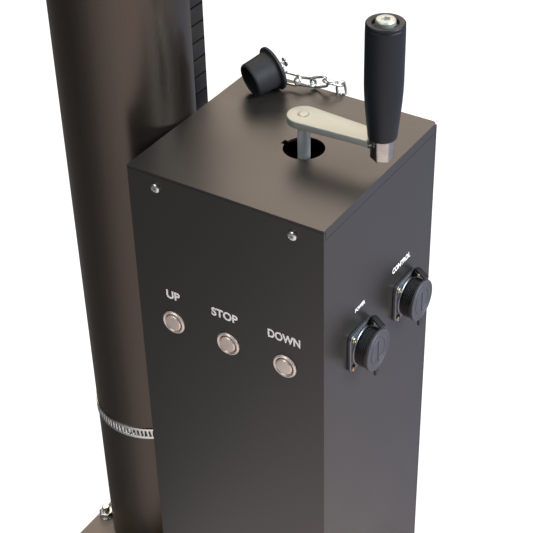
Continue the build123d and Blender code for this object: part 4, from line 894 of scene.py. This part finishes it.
def make_base_bolts():
    """Two rows of four bolts: each has a washer, a hexagon head that is turned a little further
    than the last one's, and the bolt's own end above it."""
    washer = spun(rounded(((0, BOX_FOOT), (WASHER_R, BOX_FOOT), (WASHER_R, WASHER_TOP),
                           (0, WASHER_TOP)), 0.3), 40)
    end = spun(rounded(((BASE_BOLT_R, 55), (BASE_BOLT_R, 61.6), (3.3, BASE_BOLT_TOP),
                        (0, BASE_BOLT_TOP)), 0.3), 24)
    bolts = []
    for x in BASE_BOLT_X:
        for row in range(4):
            outline = hexagon(BASE_BOLT_ACROSS, 15 + BASE_BOLT_TURN * row)
            head = slab(outline, WASHER_TOP, WASHER_TOP + 5.5, 0.6)
            place = (x, (row - 1.5) * BASE_BOLT_GAP, 0)
            bolts.append(turned(joined(washer, head, end), place))
    piece("base_bolt_heads", joined(*bolts), zinc_plate, "base", ("base_bolts",))


# The cable chain

def chain_link():
    """A cable chain's link, drawn from its side: two side plates, each a pair of arcs joined by
    straight edges, with a low stud on each, and between them a thin cover in front and behind."""
    joint, radius = CHAIN_PITCH / 2 - CHAIN_END_IN, CHAIN_HALF_DEPTH - 0.6
    plate = np.concatenate([arc((0, joint), radius, 25, 155, 8),
                            arc((0, -joint), radius, 205, 335, 8)])
    stud, stud_faces = spun(rounded(((0, 0), (3.2, 0), (3.2, 0.7), (0, 0.7)), 0.2), 16)
    shapes = []
    for side in (-1, 1):
        low = side * (CHAIN_WIDTH / 2) - (CHAIN_PLATE if side > 0 else 0)
        shapes.append(slab(plate, low, low + CHAIN_PLATE, 0.5))
        shapes.append((stud * (1, 1, side) + (0, joint, side * CHAIN_WIDTH / 2), stud_faces))
    cover = np.array([(-8.0, -3.0), (-7.0, -7.2), (-6.2, -7.6), (-6.2, 7.6), (-7.0, 7.2),
                      (-8.0, 3.0)])
    for side in (1, -1):
        shapes.append(slab(side * cover, -CHAIN_WIDTH / 2 + 2, CHAIN_WIDTH / 2 - 2, 0.3))
    return joined(*shapes)


def make_cable_chain():
    """The links of a straight fixed leg, a half-circle bend below it and a straight moving leg
    beside it. A link in the bend is turned by its own share of the half circle."""
    radius = CHAIN_BEND_LINKS * CHAIN_PITCH / PI
    link = chain_link()

    def laid(x, z, lean):
        """A link with its middle at this place, leaning as the chain does there."""
        across = (math.cos(lean), 0, -math.sin(lean))
        return turned(link, (x, CHAIN_Y, z), FRONT, across)

    heights = CHAIN_TOP - (np.arange(CHAIN_COUNT) + 0.5) * CHAIN_PITCH
    fixed = [laid(CHAIN_NEAR_X, z, 0) for z in heights]
    centre_x, low = CHAIN_NEAR_X - radius, CHAIN_TOP - CHAIN_COUNT * CHAIN_PITCH
    for step in range(CHAIN_BEND_LINKS):
        turn = (step + 0.5) * PI / CHAIN_BEND_LINKS
        fixed.append(laid(centre_x + radius * math.cos(turn), low - radius * math.sin(turn), turn))
    piece("cable_chain_still", joined(*fixed), chain_plastic, "base",
          ("cable_chain_fixed",))
    moving = [laid(CHAIN_NEAR_X - 2 * radius, z, 0) for z in heights]
    piece("cable_chain_rising", joined(*moving), chain_plastic, "section_3",
          ("cable_chain_moving",))


# Light and floor: panels have a name, a place, a size, a power in watts and a colour, and the
# floor's glows an azimuth in degrees, a sharpness and a colour

AMBIENT = 0.04
TARGET = (0.08, 0.0, 0.45)
PANELS = (
    ("lid_panel", (-1.0, 1.9, 2.2), (1.8, 1.6), 34.6, (1.0, 0.81, 0.66)),
    ("right_panel", (2.4, 0.4, 2.0), (1.6, 1.6), 158, (0.88, 0.95, 1.0)),
    ("front_panel", (-0.6, -2.2, 2.4), (1.6, 1.6), 30, (0.96, 0.97, 1.0)),
    ("top_panel", (-0.5, -0.1, 3.0), (1.4, 1.4), 45, (1.0, 0.93, 0.85)),
    ("back_panel", (0.9, 2.4, 2.2), (1.6, 1.6), 10, (1.0, 1.0, 1.0)),
)
GLOWS = (
    (332, 1.8, (1.2, 0.98, 0.93)),
    (280, 6.0, (0.34, 0.34, 0.37)),
    (55, 6.0, (0.22, 0.24, 0.4)),
)
FLOOR_HALF = 14.0
FLOOR_GREY = 0.12


def white_to_camera(tree, other):
    """White to the camera, and a given colour or level of light to every other ray."""
    paths, pick = tree.nodes.new("ShaderNodeLightPath"), tree.nodes.new("ShaderNodeMix")
    pick.data_type = "RGBA"
    pick.inputs["B"].default_value = (1, 1, 1, 1)
    tree.links.new(paths.outputs["Is Camera Ray"], pick.inputs["Factor"])
    if isinstance(other, float):
        pick.inputs["A"].default_value = (other, other, other, 1)
    else:
        tree.links.new(other, pick.inputs["A"])
    return pick.outputs["Result"]


def floor_light(tree):
    """The floor's light on the object: lobes of colour round the mast, each the cosine from its
    own azimuth raised to a power."""
    new, link = tree.nodes.new, tree.links.new
    place, flat = new("ShaderNodeTexCoord"), new("ShaderNodeVectorMath")
    flat.operation = "NORMALIZE"
    link(place.outputs["Object"], flat.inputs[0])
    total = None
    for azimuth, sharpness, colour in GLOWS:
        toward, tinted = new("ShaderNodeVectorMath"), new("ShaderNodeVectorMath")
        cut, lobe = new("ShaderNodeMath"), new("ShaderNodeMath")
        toward.operation, tinted.operation = "DOT_PRODUCT", "MULTIPLY_ADD"
        cut.operation, lobe.operation = "MAXIMUM", "POWER"
        turn = math.radians(azimuth)
        toward.inputs[1].default_value = (math.cos(turn), math.sin(turn), 0)
        cut.inputs[1].default_value = 0.0
        lobe.inputs[1].default_value = sharpness
        tinted.inputs[0].default_value = colour
        link(flat.outputs[0], toward.inputs[0])
        link(toward.outputs["Value"], cut.inputs[0])
        link(cut.outputs[0], lobe.inputs[0])
        link(lobe.outputs[0], tinted.inputs[1])
        if total is not None:
            link(total, tinted.inputs[2])
        total = tinted.outputs[0]
    return total


def make_floor():
    """A wide flat floor: white to the camera, dark grey with the coloured glows to the object."""
    mesh = bpy.data.meshes.new("floor")
    far = FLOOR_HALF
    mesh.from_pydata([(-far, -far, 0), (far, -far, 0), (far, far, 0), (-far, far, 0)], [],
                     [(0, 1, 2, 3)])
    paper = bpy.data.materials.new("pale_floor")
    paper.use_nodes = True
    shader = paper.node_tree.nodes["Principled BSDF"]
    shader.inputs["Base Color"].default_value = (FLOOR_GREY, FLOOR_GREY, FLOOR_GREY, 1)
    shader.inputs["Roughness"].default_value = 0.9
    shader.inputs["Specular IOR Level"].default_value = 0.1
    shader.inputs["Emission Strength"].default_value = 1.0
    light = white_to_camera(paper.node_tree, floor_light(paper.node_tree))
    paper.node_tree.links.new(light, shader.inputs["Emission Color"])
    mesh.materials.append(paper)
    added("floor", mesh)


def make_world():
    """A white backdrop to the camera, and a faint even light to the object."""
    world = bpy.data.worlds.new("studio")
    bpy.context.scene.world = world
    world.use_nodes = True
    background = world.node_tree.nodes["Background"]
    background.inputs["Strength"].default_value = 1.0
    world.node_tree.links.new(white_to_camera(world.node_tree, AMBIENT), background.inputs["Color"])


def make_lights():
    """Soft panels that face the object and that the camera doesn't see."""
    for name, place, size, power, colour in PANELS:
        light = bpy.data.lights.new(name, "AREA")
        light.shape = "RECTANGLE"
        light.size, light.size_y = size
        light.energy = power
        light.color = colour
        lamp = added(name, light)
        lamp.location = place
        aim = Vector(TARGET) - Vector(place)
        lamp.rotation_euler = aim.to_track_quat("-Z", "Y").to_euler()
        lamp.visible_camera = False


# The camera: its place in metres, its angles in radians and its lens in mm

VIEWPOINT = (0.6665, -0.7979, 1.1376)
VIEW_YAW = -0.5542
VIEW_PITCH = 0.6385
VIEW_ROLL = -0.0108
VIEW_TURN = 0.0270
LENS = 94.9
SENSOR = 36.0


def make_camera():
    """The photograph's viewpoint. Its lines run along the yaw and pitch; the roll and the turn to
    the left are about the camera's own axes."""
    data = bpy.data.cameras.new("camera")
    data.lens = LENS
    data.sensor_width = SENSOR
    data.clip_end = 60.0
    camera = added("camera", data)
    bpy.context.scene.camera = camera
    cy, sy, cp, sp = (math.cos(VIEW_YAW), math.sin(VIEW_YAW), math.cos(VIEW_PITCH),
                      math.sin(VIEW_PITCH))
    ahead = Vector((sy * cp, cy * cp, -sp))
    right = Vector((cy, -sy, 0))
    up = right.cross(ahead)
    cr, sr = math.cos(VIEW_ROLL), math.sin(VIEW_ROLL)
    right, up = cr * right + sr * up, cr * up - sr * right
    turn = Matrix.Rotation(VIEW_TURN, 3, up)
    right, ahead = turn @ right, turn @ ahead
    camera.matrix_world = Matrix((
        (right.x, up.x, -ahead.x, VIEWPOINT[0]),
        (right.y, up.y, -ahead.y, VIEWPOINT[1]),
        (right.z, up.z, -ahead.z, VIEWPOINT[2]),
        (0, 0, 0, 1),
    ))


dress_nodes()
make_box()
make_box_screws()
make_buttons()
make_connectors()
make_labels()
make_crank()
make_plug()
make_clamp()
make_base_bolts()
make_cable_chain()
make_floor()
make_world()
make_lights()
make_camera()
bpy.context.scene.view_settings.view_transform = "Standard"
